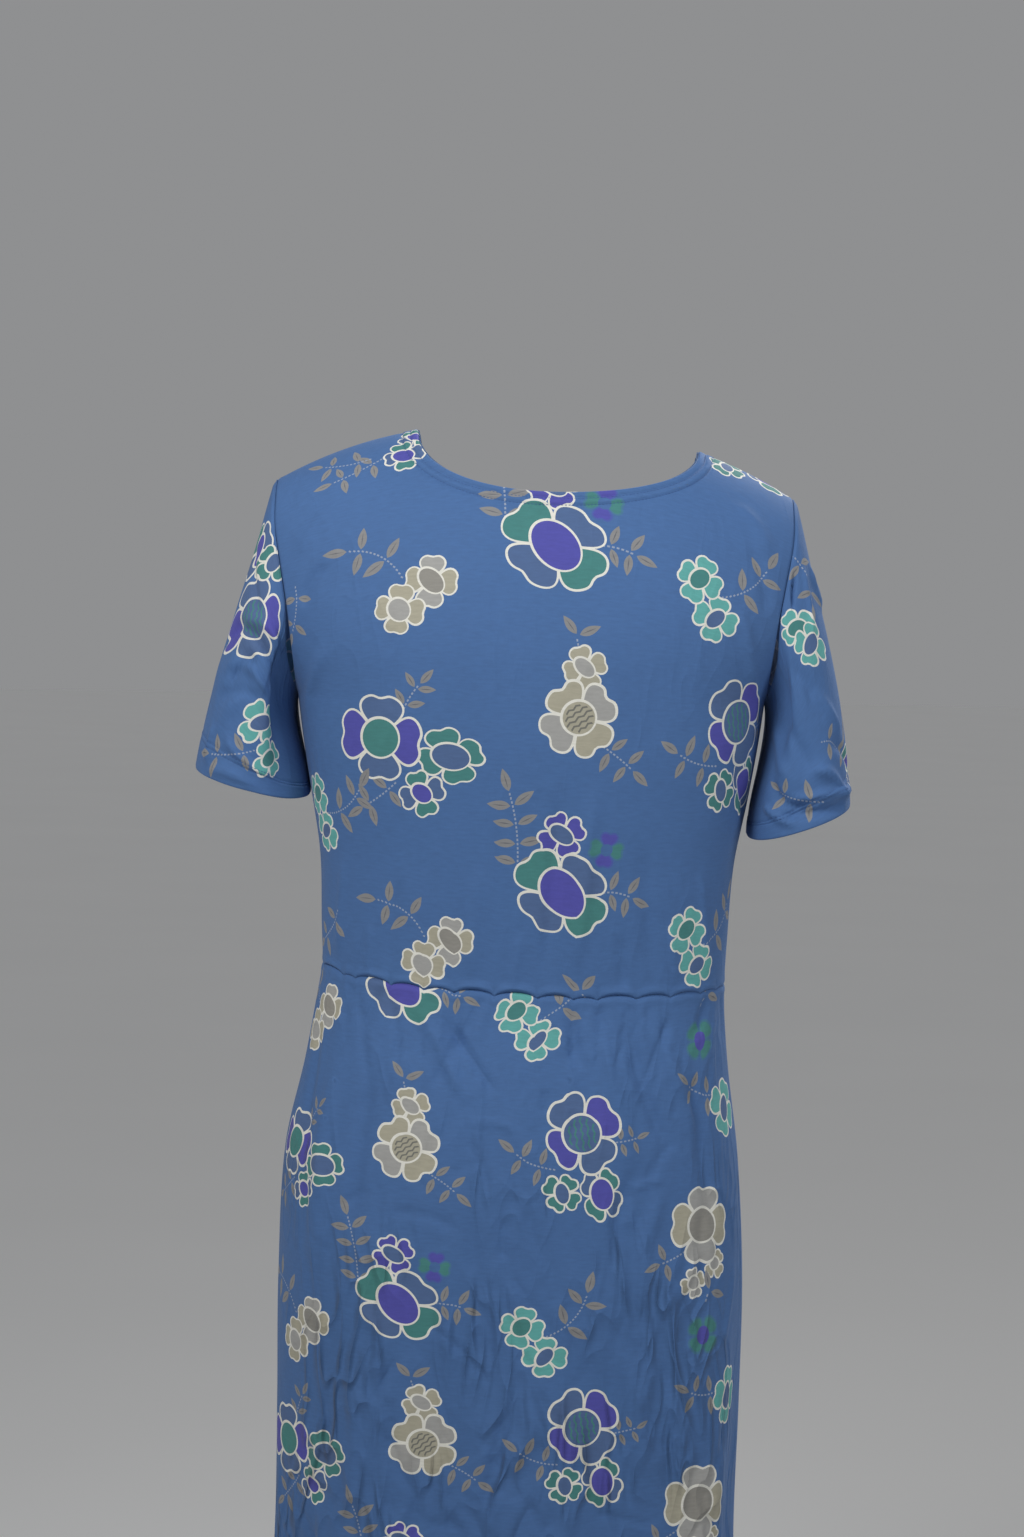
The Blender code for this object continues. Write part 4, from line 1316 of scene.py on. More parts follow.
@dataclass
class ClothPiece:
    """A cut piece of the dress: its outline, print, creases and wall. Sizes in metres.

    A row of motifs holds a motif, the two coordinates of its place, its scale, turn and stretch. A row
    of creases holds the coordinates of both ends, the half width and rise in mm, and the bend. The
    coordinates are pixels of the photograph in the pixel tables, and cloth metres in the cloth tables.
    """

    node: str = ""
    flat_size: Pair = (0.0, 0.0)
    flat_area: float = 0.0
    held: str = "hung"
    spacing: float = 0.0050
    hem: TurnedHem = NECK_HEM
    hem_spacing: float = 0.004
    seam_lines: tuple[float, ...] = WAIST.lines
    seam_spacing: float = 0.0028
    side_points: int = 0

    pixel_motifs = cloth_motifs = pixel_creases = cloth_creases = crinkles = ()

    def __post_init__(self) -> None:
        """Measure the piece, and find where its creases and its print lie."""
        self.name = f"{self.node}_cloth"
        self.chart = Chart(self.smooth_sheet())
        self.length = self.chart.b[-1]
        self.relief = Relief(self.creases())
        placed = [(row[0], self.seen(row[1:3]), row[3:]) for row in self.pixel_motifs]
        placed += [(row[0], np.array(row[1:3]), row[3:]) for row in self.cloth_motifs]
        self.regions = [region for motif, middle, fit in placed for region in self.lay(motif, middle, *fit)]

    def smooth_sheet(self) -> Surface:
        """The surface that the piece follows."""
        raise NotImplementedError

    def outline(self) -> Array:
        """The piece's outline in surface coordinates u and v, in order round it."""
        raise NotImplementedError

    def seen(self, pixel: Pair) -> Array:
        """Cloth coordinates of a pixel of the photograph."""
        return VIEW.cloth_place(self.chart, pixel)

    def creases(self) -> list[Crease]:
        """Creases of the piece: those that the photograph shows, the hidden ones and the crinkles."""
        found = [Crease(self.seen(row[:2]), self.seen(row[2:4]), *row[4:]) for row in self.pixel_creases]
        found += [Crease(row[:2], row[2:4], *row[4:]) for row in self.cloth_creases]
        return found + [crease for patch in self.crinkles for crease in patch.creases()]

    def lay(self, motif: Motif, middle: Array, scale: float = 1.0, turn: float = 0.0,
            stretch: float = 1.0) -> list[Region]:
        """Draw a motif to size on the cloth.

        Args:
            motif: What to draw.
            middle: Cloth coordinates of its middle.
            scale: How much larger than drawn.
            turn: Turn in degrees.
            stretch: Its height as a share of the usual height.

        Returns:
            Regions in cloth coordinates, the lowest first.
        """
        along_a, along_b, normal = (row[0] for row in self.chart.tangents(middle[None, :]))
        right = normalised(np.cross(along_b if along_b[2] > 0.0 else -along_b, normal))
        up = normalised(np.cross(normal, right))
        to_cloth = np.linalg.pinv(columns(along_a, along_b))
        regions = []
        for region in PrintDrawing().motif(motif, scale):
            outline = PrintDrawing.turned(region.outline, turn) * MM * scale
            space = outline[:, :1] * right + outline[:, 1:] * stretch * up
            regions.append(Region(middle + space @ to_cloth.T, region.ink))
        return regions

    def row(self, b: float, spacing: float) -> Array:
        """A level line across the cloth at b, with its points so far apart."""
        low, high = self.chart.limits(np.array(b))
        return columns(np.linspace(low, high, max(int((high - low) / spacing), 8)), b)

    def hem_line(self, distance: float, spacing: float = CLOTH.stitch_row) -> Array:
        """The line of cloth coordinates at a distance from the hem's edge."""
        return self.row(self.length - distance, spacing)

    def hem_gap(self, flat: Array) -> Array:
        """Distance from the hem's edge."""
        return self.length - flat[:, 1]

    def seam_gap(self, flat: Array) -> Array:
        """Distance from the nearer side seam."""
        low, high = self.chart.limits(flat[:, 1])
        return np.minimum(flat[:, 0] - low, high - flat[:, 0])

    def guide_lines(self) -> list[Array]:
        """Lines of cloth coordinates that the mesh follows beside the seams and the hem."""
        lines = [self.row(b, self.seam_spacing) for b in self.seam_lines]
        lines += [self.hem_line(distance, self.hem_spacing) for distance in self.hem.guides()]
        if self.side_points:
            b = np.linspace(CLOTH.side_clearance, self.length - CLOTH.side_clearance, self.side_points)
            low, high = self.chart.limits(b)
            for inset in CLOTH.side_insets:
                lines += [columns(low + inset, b), columns(high - inset, b)]
        return lines

    def edge_relief(self, flat: Array, u: Array, v: Array) -> Array:
        """Rise of the cloth from its hem and side seams, at cloth coordinates and their u and v."""
        return self.hem.relief(self.hem_gap(flat)) - SEAM_DEPTH * bell(self.seam_gap(flat), SEAM_HALF_WIDTH)

    def lift(self, flat: Array, u: Array) -> Array:
        """How far the cloth is raised along the body at cloth coordinates and their u."""
        return np.zeros(len(flat))

    def thickness(self, flat: Array) -> Array:
        """Thickness of the cloth, which is doubled where it is turned under."""
        turned = smooth_step((self.hem.width - self.hem_gap(flat)) / CLOTH.hem_fade)
        return CLOTH.thickness * (1.0 + turned)

    def worn(self, flat: Array) -> Array:
        """Points in space of the worn cloth, with its creases, seams and hems."""
        u, v = self.chart.surface_place(flat)
        normal = self.chart.tangents(flat)[2]
        rise = self.relief.read(flat) + self.edge_relief(flat, u, v)
        return self.chart.surface.at(u, v) + normal * rise[:, None] + columns(0.0, 0.0, self.lift(flat, u))

    def worn_normals(self, flat: Array, points: Array) -> Array:
        """Outward normals of the worn cloth at cloth coordinates and their points."""
        return self.chart.slopes(self.worn, flat, points, CLOTH.step)[2]

    def triangulate(self) -> tuple[Array, Array, list[Ink]]:
        """Mesh the piece on the flat.

        Returns:
            Cloth coordinates of the vertices, triangles, and the ink of each triangle.
        """
        ring = self.chart.flat(*self.outline().T)
        points, edges = [], []
        closed = [ring] + [region.outline for region in self.regions]
        for i, line in enumerate(closed + self.guide_lines()):
            first, last = len(points), len(points) + len(line) - 1
            edges += [(j, j + 1) for j in range(first, last)]
            if i < len(closed):
                edges.append((last, first))
            points += list(line)
        points += self.filling(points)
        found = delaunay_2d_cdt([Vector(p) for p in points], edges, [], 0, 1e-6, False)
        flat, triangles = np.array([vertex[:] for vertex in found[0]]), np.array(found[2])
        triangles = triangles[inside(ring, flat[triangles].mean(axis=1))]
        used, places = np.unique(triangles, return_inverse=True)
        flat, triangles = flat[used], places.reshape(-1, 3)
        middles = flat[triangles].mean(axis=1)
        inks = np.full(len(triangles), Ink.GROUND, object)
        for region in self.regions:
            near = within(middles, region.outline.min(axis=0), region.outline.max(axis=0))
            inks[near[inside(region.outline, middles[near])]] = region.ink
        return flat, triangles, list(inks)

    def filling(self, points: list[Array]) -> list[Array]:
        """Spread points evenly over the cloth, clear of the lines already drawn.

        Args:
            points: Points of those lines.

        Returns:
            The new points.
        """
        tree = kdtree.KDTree(len(points))
        for i, point in enumerate(points):
            tree.insert((*point, 0.0), i)
        tree.balance()
        found = []
        step = self.spacing
        for j in range(1, int(self.length / (step * CLOTH.row_pitch))):
            b = j * step * CLOTH.row_pitch
            low, high = self.chart.limits(np.array(b))
            start = low + step * (0.5 + 0.5 * (j % 2))
            for i in range(int((high - start) / step)):
                a = start + i * step
                if tree.find((a, b, 0.0))[2] > step * CLOTH.clearance:
                    found.append(np.array((a, b)))
        return found

    def build(self, finish: JerseyFinish, material: Material) -> None:
        """Make the piece's wall as an object with its print.

        Args:
            finish: The jersey's values.
            material: The jersey's material.
        """
        flat, triangles, inks = self.triangulate()
        outer = self.worn(flat)
        normals = self.worn_normals(flat, outer)
        a, b, c = (outer[triangles[:, i]] for i in range(3))
        flipped = np.sum(np.cross(b - a, c - a) * normals[triangles[:, 0]], axis=1) < 0.0
        triangles[flipped] = triangles[flipped][:, ::-1]
        inner = outer - normals * self.thickness(flat)[:, None]
        rim, rim_faces, rim_normals = self.rims(outer, inner, normals, triangles)
        mesh = bpy.data.meshes.new(self.name)
        faces = np.concatenate((triangles, triangles[:, ::-1] + len(outer), rim_faces))
        mesh.from_pydata(np.concatenate((outer, inner, rim)).tolist(), [], faces.tolist())
        self.paint(mesh, finish, inks, len(rim_faces))
        self.lay_flat(mesh, np.concatenate((flat, flat, np.zeros((len(rim), 2)))))
        mesh.materials.append(material)
        mesh.shade_smooth()
        mesh.normals_split_custom_set_from_vertices(np.concatenate((normals, -normals, rim_normals)).tolist())
        piece = show(self.name, mesh)
        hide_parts(self.node)
        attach(piece, BODY)
        area = sum(face.area for face in mesh.polygons) / 2.0
        log.info("%s: %d triangles, %.3f square metres of cloth", self.name, len(faces), area)

    @staticmethod
    def rims(outer: Array, inner: Array, normals: Array, triangles: Array) -> tuple[Array, Array, Array]:
        """Round the edges that close the wall.

        Args:
            outer: Points of the outer skin.
            inner: Points of the inner skin.
            normals: Outward normals.
            triangles: Triangles of the outer skin.

        Returns:
            Rim points, rim triangles and rim normals.
        """
        owners: dict[Pair, Pair | None] = {}
        for face in triangles.tolist():
            for first, second in zip(face, face[1:] + face[:1]):
                key = (min(first, second), max(first, second))
                owners[key] = (first, second) if key not in owners else None
        border = [pair for pair in owners.values() if pair is not None]
        away = np.zeros_like(outer)
        for first, second in border:
            push = np.cross(outer[second] - outer[first], normals[first])
            away[first] += push
            away[second] += push
        on_rim = sorted({index for pair in border for index in pair})
        direction = normalised(away[on_rim])
        wall = np.linalg.norm(outer[on_rim] - inner[on_rim], axis=1)[:, None]
        middle = (outer[on_rim] + inner[on_rim]) / 2.0 + direction * wall * CLOTH.rim_bulge
        count = len(outer)
        place = {index: 2 * count + i for i, index in enumerate(on_rim)}
        faces = []
        for first, second in border:
            rim_first, rim_second = place[first], place[second]
            faces += [(second, first, rim_first), (second, rim_first, rim_second)]
            faces += [(rim_second, rim_first, first + count), (rim_second, first + count, second + count)]
        return middle, np.array(faces), direction

    @staticmethod
    def paint(mesh: bpy.types.Mesh, finish: JerseyFinish, inks: list[Ink], rim: int) -> None:
        """Give each triangle its ink, which shows paler on the wrong side.

        Args:
            mesh: The mesh: outer skin, inner skin and rim.
            finish: The jersey's values.
            inks: Ink of each triangle of a skin.
            rim: Number of rim triangles.
        """
        right_side = np.array([linear(ink.value) for ink in inks])
        tone = np.array(linear(finish.wrong_side_tone))
        wrong_side = right_side * (1.0 - finish.wrong_side_fade) + tone * finish.wrong_side_fade
        edge = np.tile(linear(Ink.GROUND.value), (rim, 1))
        colours = np.concatenate((right_side, wrong_side, edge))
        colours = np.concatenate((colours, np.ones((len(colours), 1))), axis=1)
        layer = mesh.color_attributes.new("ink", "FLOAT_COLOR", "CORNER")
        layer.data.foreach_set("color", np.repeat(colours, 3, axis=0).ravel().astype(np.float32))

    @staticmethod
    def lay_flat(mesh: bpy.types.Mesh, places: Array) -> None:
        """Give each corner its place on the flat cloth, from that of its vertex."""
        corners = np.empty(len(mesh.loops), int)
        mesh.loops.foreach_get("vertex_index", corners)
        layer = mesh.uv_layers.new(name="cloth")
        layer.data.foreach_set("uv", places[corners].ravel().astype(np.float32))


@dataclass
class WaistPiece(ClothPiece):
    """A panel that is sewn to the gathered waist seam."""

    side: Side = Side.BACK
    waist_lift: Triple = (0.0, 0.0, 1.0)

    def lift(self, flat: Array, u: Array) -> Array:
        """How far the cloth is raised between the pins of the waist seam."""
        height, middle, reach = self.waist_lift
        near = flat[:, 1] < WAIST.reach
        return near * height * fullness(self.side, u) * bell(flat[:, 1] - middle, reach)


@dataclass
class BodicePiece(WaistPiece):
    """A bodice panel, with its neck hem, shoulder seams and the puffed lip above the waist seam."""

    flat_size: Pair = (0.500, 0.480)
    side_points: int = 110
    waist_lift: Triple = (0.0014, 0.0018, 0.0022)

    def __post_init__(self) -> None:
        """Measure the panel and its neckline."""
        super().__post_init__()
        surface = self.chart.surface
        ends = (surface.shoulder_column(x) for x in (FIGURE.neck_right, FIGURE.neck_left))
        self.neck_u = np.linspace(*ends, 121)
        self.neck_v = surface.neck_edge(self.neck_u)
        self.neck = self.chart.flat(self.neck_u, self.neck_v)

    def smooth_sheet(self) -> Surface:
        """The surface that the panel follows."""
        return BodiceSurface(self.side)

    def outline(self) -> Array:
        """Waist, left side, left shoulder, neck, right shoulder and right side."""
        right, left = self.neck_u[0], self.neck_u[-1]
        return np.concatenate((
            leg((-1.0, 0.0), (1.0, 0.0), 220), leg((1.0, 0.0), (1.0, 2.0), 130),
            leg((1.0, 2.0), (left, 2.0), 26), columns(self.neck_u, self.neck_v)[::-1],
            leg((right, 2.0), (-1.0, 2.0), 26)[1:], leg((-1.0, 2.0), (-1.0, 0.0), 130)))

    def hem_line(self, distance: float, spacing: float = CLOTH.stitch_row) -> Array:
        """The line at a distance below the neckline. It keeps the neckline's points, not a spacing."""
        step = np.gradient(self.neck, axis=0)
        line = self.neck + normalised(columns(step[:, 1], -step[:, 0])) * distance
        return line[line[:, 1] < self.length - 0.0005]

    def hem_gap(self, flat: Array) -> Array:
        """Distance from the neckline, or 1 far from it."""
        gap = np.full(len(flat), 1.0)
        near = np.nonzero(flat[:, 1] > np.min(self.neck[:, 1]) - 0.03)[0]
        if len(near):
            start, step = self.neck[:-1], np.diff(self.neck, axis=0)
            away = flat[near][:, None, :] - start[None, :, :]
            share = np.clip(np.sum(away * step, axis=2) / np.sum(step * step, axis=1), 0.0, 1.0)
            rest = away - share[..., None] * step
            gap[near] = np.sqrt(np.min(np.sum(rest * rest, axis=2), axis=1))
        return gap

    def edge_relief(self, flat: Array, u: Array, v: Array) -> Array:
        """Rise of the cloth from the neck hem, the seams and the lip over the waist seam."""
        above = flat[:, 1]
        rise = super().edge_relief(flat, u, v)
        rise = rise - SEAM_DEPTH * 0.7 * bell(self.length - above, SEAM_HALF_WIDTH)
        full = fullness(self.side, u)
        rise = rise + WAIST.lip_out * full * bell(above - WAIST.lip_reach * 0.9, WAIST.lip_reach)
        return rise - (WAIST.lip_tuck + WAIST.lip_out * full) * bell(above, WAIST.lip_tuck_reach)


@dataclass
class BackBodice(BodicePiece):
    """The back bodice, with print and creases where the photograph shows them."""

    node: str = "back_bodice"
    flat_area: float = 0.192

    pixel_motifs = (
        (Motif.CROWNED, 556, 545, 1.20), (Motif.CROWNED, 562, 893, 1.07),
        (Motif.BEIGE_PAIR, 415, 595, 1.08), (Motif.BEIGE_PAIR, 436, 952, 0.98),
        (Motif.AQUA_PAIR, 708, 599, 1.05), (Motif.AQUA_PAIR, 692, 947, 1.0),
        (Motif.BEIGE_TALL, 579, 718, 1.04), (Motif.TEAL_HEARTED, 380, 738, 1.08),
        (Motif.VIOLET_CROSSED, 738, 722, 1.08), (Motif.SMALL_PAIR, 404, 448, 1.0),
        (Motif.LEAF_SPRIG, 345, 463, 1.0, 10), (Motif.LONE_SLATE, 727, 467, 0.85, 10),
        (Motif.LONE_VIOLET, 768, 482, 0.80, -50), (Motif.AQUA_PAIR, 322, 812, 0.95),
        (Motif.LEAF_SPRIG, 293, 612, 0.9, 96), (Motif.LEAF_SPRIG, 330, 925, 1.0, 60),
        (Motif.LEAF_PAIR, 580, 992, 1.0, 42),
    )
    pixel_creases = (
        (300, 610, 330, 560, 6, -1.2, 0.1), (296, 560, 345, 500, 7, 0.7, 0.1), (305, 720, 330, 640, 6, 1.0),
        (770, 560, 735, 500, 7, 0.7, -0.1), (765, 620, 745, 540, 6, -0.8, -0.1),
        (752, 700, 738, 600, 6, 1.2), (742, 830, 725, 740, 7, -1.2), (560, 780, 545, 990, 6, -1.2),
        (595, 775, 575, 985, 6, 1.3), (480, 860, 470, 990, 7, 0.8), (640, 840, 655, 985, 6, -0.8),
        (400, 870, 385, 975, 6, -0.7), (700, 860, 708, 980, 5, 0.8), (345, 850, 338, 965, 5, 0.9),
        (520, 930, 512, 998, 4, 0.7), (620, 930, 624, 998, 4, -0.7), (440, 930, 436, 996, 4, -0.7),
        (372, 920, 366, 985, 4, 0.7), (670, 920, 676, 990, 4, 0.7),
    )


@dataclass
class FrontBodice(BodicePiece):
    """The front bodice, which the photograph doesn't show: the print in its repeat, soft creases."""

    node: str = "front_bodice"
    flat_area: float = 0.181
    side: Side = Side.FRONT

    cloth_motifs = (
        (Motif.CROWNED, 0.012, 0.095, 1.07), (Motif.CROWNED, 0.145, 0.395, 1.05),
        (Motif.CROWNED, -0.150, 0.395, 1.05), (Motif.BEIGE_PAIR, 0.128, 0.050, 0.98),
        (Motif.BEIGE_PAIR, 0.120, 0.300, 1.05), (Motif.AQUA_PAIR, -0.118, 0.052, 1.0),
        (Motif.AQUA_PAIR, -0.108, 0.300, 1.05), (Motif.BEIGE_TALL, -0.008, 0.240, 1.04),
        (Motif.TEAL_HEARTED, 0.150, 0.190, 1.06), (Motif.VIOLET_CROSSED, -0.150, 0.195, 1.06),
        (Motif.FAINT, -0.070, 0.150, 1.0), (Motif.LEAF_SPRIG, 0.060, 0.160, 1.0, 40),
    )
    cloth_creases = tuple(
        (hand * a, b, hand * end_a, end_b, width, rise, hand * 0.1) for hand in (1, -1)
        for a, b, end_a, end_b, width, rise in ((0.205, 0.215, 0.130, 0.250, 8, -1.4),
                                                (0.205, 0.185, 0.140, 0.210, 7, 1.2))
    ) + tuple(
        (a, 0.004, a * 0.85, 0.120, 7, rise) for a, rise in (
            (-0.13, 0.9), (-0.09, -0.9), (-0.05, 1.0), (-0.01, -0.8), (0.04, 0.9), (0.08, -1.0), (0.12, 0.8))
    )


@dataclass
class SkirtPiece(WaistPiece):
    """A skirt panel, gathered at the waist seam and hemmed at the bottom."""

    flat_size: Pair = (0.540, 0.640)
    held: str = "gathered"
    spacing: float = 0.0043
    hem: TurnedHem = SKIRT_HEM
    hem_spacing: float = 0.005
    side_points: int = 140
    waist_lift: Triple = (0.0012, 0.0, 0.0040)

    # Crinkles below each pin; widths and rises in mm
    pin_seed = 31
    pin_outermost = 0.150
    pin_shift = 0.010
    pin_reach = (0.035, 0.110)
    pin_lean = 0.40
    pin_rise = (0.3, 0.8)
    pin_half_width = (2.8, 5.0)
    pin_bend = 0.06

    def smooth_sheet(self) -> Surface:
        """The surface that the panel follows."""
        return SkirtSurface(self.side)

    def outline(self) -> Array:
        """Waist, right side, hem and left side."""
        return loop(((1.0, 0.0), (-1.0, 0.0), (-1.0, 1.0), (1.0, 1.0)), (220, 150, 150, 150))

    def edge_relief(self, flat: Array, u: Array, v: Array) -> Array:
        """Rise of the cloth from the hem, the side seams and the tuck under the waist seam."""
        below = flat[:, 1]
        least, more = WAIST.skirt_tuck
        middle, reach = WAIST.skirt_roll_place
        tuck = (least + more * fullness(self.side, u)) * bell(below, WAIST.skirt_tuck_reach)
        return super().edge_relief(flat, u, v) - tuck + WAIST.skirt_roll * bell(below - middle, reach)

    def creases(self) -> list[Crease]:
        """Short crinkles that run down from the pins of the waist seam, then the other creases."""
        dice = random.Random(self.pin_seed + self.side.value)
        found = []
        for pin in WAIST_PINS[self.side]:
            if abs(pin) > self.pin_outermost:
                continue
            u = np.array([math.asin(pin / BODICE_HALF_WIDTH.values[0]) * 2.0 / math.pi])
            a = float(self.chart.flat(u, np.zeros(1))[0, 0])
            for _ in range(2):
                top = a + dice.uniform(-self.pin_shift, self.pin_shift)
                reach = dice.uniform(*self.pin_reach)
                lean = dice.uniform(-self.pin_lean, self.pin_lean)
                rise = dice.choice((-1.0, 1.0)) * dice.uniform(*self.pin_rise)
                half_width = dice.uniform(*self.pin_half_width)
                bend = dice.uniform(-self.pin_bend, self.pin_bend)
                found.append(Crease((top, MM), (top + lean * reach, reach), half_width, rise, bend))
        return found + super().creases()


@dataclass
class BackSkirt(SkirtPiece):
    """The back skirt, as the photograph shows it, and on down in the same repeat."""

    node: str = "back_skirt"
    flat_area: float = 0.316

    pixel_motifs = (
        (Motif.CROWNED, 402, 978, 0.98, 3, 0.92), (Motif.CROWNED, 398, 1304, 0.98, 3, 0.92),
        (Motif.CROWNED, 406, 1590, 0.98, 3, 0.92), (Motif.AQUA_PAIR, 527, 1026, 0.97, 12, 0.92),
        (Motif.AQUA_PAIR, 533, 1342, 0.97, 12, 0.92), (Motif.AQUA_PAIR, 540, 1640, 0.97, 12, 0.92),
        (Motif.BEIGE_TALL, 406, 1148, 0.94, 4, 0.92), (Motif.BEIGE_TALL, 423, 1444, 0.94, 8, 0.92),
        (Motif.BEIGE_TALL, 434, 1736, 0.94, 8, 0.92),
        (Motif.VIOLET_CROSSED, 582, 1134, 0.97, 0, 0.96),
        (Motif.VIOLET_CROSSED, 582, 1428, 0.95, 0, 0.95),
        (Motif.VIOLET_CROSSED, 586, 1718, 0.95, 0, 0.95),
        (Motif.TEAL_HEARTED, 295, 1141, 0.84, -12), (Motif.TEAL_HEARTED, 288, 1438, 0.90, 8),
        (Motif.TEAL_HEARTED, 288, 1738, 0.94), (Motif.BEIGE_PAIR, 321, 1017, 0.92),
        (Motif.BEIGE_PAIR, 303, 1330, 0.96), (Motif.BEIGE_PAIR, 300, 1632, 0.96),
        (Motif.BEIGE_ROUND, 703, 1225, 1.04), (Motif.BEIGE_ROUND, 698, 1503, 1.04),
        (Motif.FAINT, 700, 1041, 1.25), (Motif.FAINT, 703, 1335, 1.25),
        (Motif.FAINT, 704, 1620, 1.25), (Motif.AQUA_SINGLE, 724, 1108, 1.05),
        (Motif.AQUA_SINGLE, 727, 1395, 1.05), (Motif.AQUA_SINGLE, 728, 1676, 1.05),
    )
    pixel_creases = (
        (322, 1010, 305, 1160, 7, -1.6, 0.04), (345, 1040, 318, 1300, 9, 1.8, 0.04),
        (375, 1060, 350, 1240, 7, -1.4), (425, 1015, 470, 1110, 5, 1.2), (440, 1010, 500, 1100, 4, -1.2),
        (470, 1020, 430, 1090, 5, -1.0), (600, 1020, 640, 1180, 7, 1.5, 0.03),
        (625, 1020, 672, 1160, 6, -1.7, 0.03), (650, 1015, 700, 1150, 6, 1.6),
        (672, 1010, 640, 1100, 4, -1.0), (690, 1060, 715, 1240, 7, -1.5), (520, 1080, 545, 1250, 8, 1.0),
        (640, 1160, 610, 1300, 7, -1.4, 0.05), (665, 1180, 640, 1330, 6, 1.3, 0.05),
        (470, 1200, 500, 1400, 7, -1.2, 0.03), (440, 1240, 468, 1460, 7, 1.3, 0.03),
        (500, 1260, 560, 1430, 5, 1.1), (520, 1380, 480, 1530, 6, -1.3), (620, 1330, 650, 1500, 7, 1.4),
        (660, 1340, 672, 1530, 6, -1.3), (360, 1360, 350, 1530, 7, 1.2), (330, 1380, 318, 1530, 7, -1.3),
    )
    crinkles = (
        Crinkles((-0.150, 0.020), (0.130, 0.180), 44, (0.020, 0.060), (2.8, 4.6), 0.70, 90, 32, 5),
        Crinkles((-0.190, 0.170), (0.180, 0.600), 110, (0.030, 0.090), (3.2, 6.0), 0.95, 96, 28, 11),
        Crinkles((-0.190, 0.340), (0.180, 0.600), 90, (0.025, 0.070), (3.0, 5.0), 0.90, 100, 36, 17),
    )


SKIRT_REPEAT = 0.236
SKIRT_PRINT_END = 0.63


@dataclass
class FrontSkirt(SkirtPiece):
    """The front skirt, which the photograph doesn't show, in the same print and folds."""

    node: str = "front_skirt"
    flat_area: float = 0.303
    side: Side = Side.FRONT

    cloth_motifs = tuple(
        (motif, a, b + SKIRT_REPEAT * i) for motif, a, b in (
            (Motif.AQUA_PAIR, 0.110, 0.030), (Motif.BEIGE_PAIR, -0.092, 0.036),
            (Motif.CROWNED, 0.008, 0.010), (Motif.BEIGE_TALL, 0.020, 0.118),
            (Motif.VIOLET_CROSSED, -0.130, 0.112), (Motif.TEAL_HEARTED, 0.160, 0.122),
            (Motif.BEIGE_ROUND, -0.205, 0.055), (Motif.FAINT, 0.188, 0.044),
        ) for i in range(3) if b + SKIRT_REPEAT * i < SKIRT_PRINT_END
    )
    cloth_creases = tuple(
        (a, start, a * 1.12, end, 8, rise, 0.03) for a, start, end, rise in (
            (-0.17, 0.05, 0.40, 1.6), (-0.12, 0.03, 0.30, -1.4), (-0.07, 0.10, 0.50, 1.5),
            (-0.02, 0.04, 0.26, -1.3), (0.03, 0.12, 0.55, 1.4), (0.07, 0.03, 0.30, -1.5),
            (0.12, 0.08, 0.46, 1.5), (0.17, 0.05, 0.38, -1.4), (-0.10, 0.30, 0.62, -1.5),
            (0.00, 0.32, 0.62, 1.4), (0.10, 0.34, 0.62, -1.4))
    )
    crinkles = (Crinkles((-0.180, 0.020), (0.180, 0.600), 170, (0.025, 0.085), (3.0, 5.6), 0.85, 90, 30, 23),)


@dataclass
class SleevePiece(ClothPiece):
    """A short set-in sleeve with a turned hem.

    A row of dents holds a turn round the sleeve in degrees, a share of its length, the half widths of
    both, and the rise in mm.
    """

    flat_size: Pair = (0.340, 0.260)
    flat_area: float = 0.052
    spacing: float = 0.0033
    hem: TurnedHem = CUFF_HEM
    seam_lines: tuple[float, ...] = (0.0010, 0.0022, 0.0038, 0.0060)
    seam_spacing: float = 0.0035
    head_rise: float = 0.0016
    head_span: Triple = (0.004, 0.050, 0.045)
    hang: SleeveHang | None = None

    dents = ()

    def smooth_sheet(self) -> Surface:
        """The surface that the sleeve follows."""
        return SleeveSurface(self.hang)

    def outline(self) -> Array:
        """Armhole, one side of the underarm seam, hem and the other side."""
        return loop(((-1.0, 0.0), (1.0, 0.0), (1.0, 1.0), (-1.0, 1.0)), (130, 50, 110, 50))

    def edge_relief(self, flat: Array, u: Array, v: Array) -> Array:
        """Rise of the cloth from the hem, the dents, and the sleeve head proud of its seam."""
        head = (1.0 + np.cos(u * np.pi)) / 2.0 * self.head_rise
        along = flat[:, 1]
        start, end, fade = self.head_span
        rise = head * smooth_step(along / start) * smooth_step((end - along) / fade)
        rise = super().edge_relief(flat, u, v) + rise
        for turn, down, half_turn, half_down, depth in self.dents:
            away = (u * 180.0 - turn + 180.0) % 360.0 - 180.0
            rise = rise + depth * MM * bell(away, half_turn) * bell(v - down, half_down)
        return rise


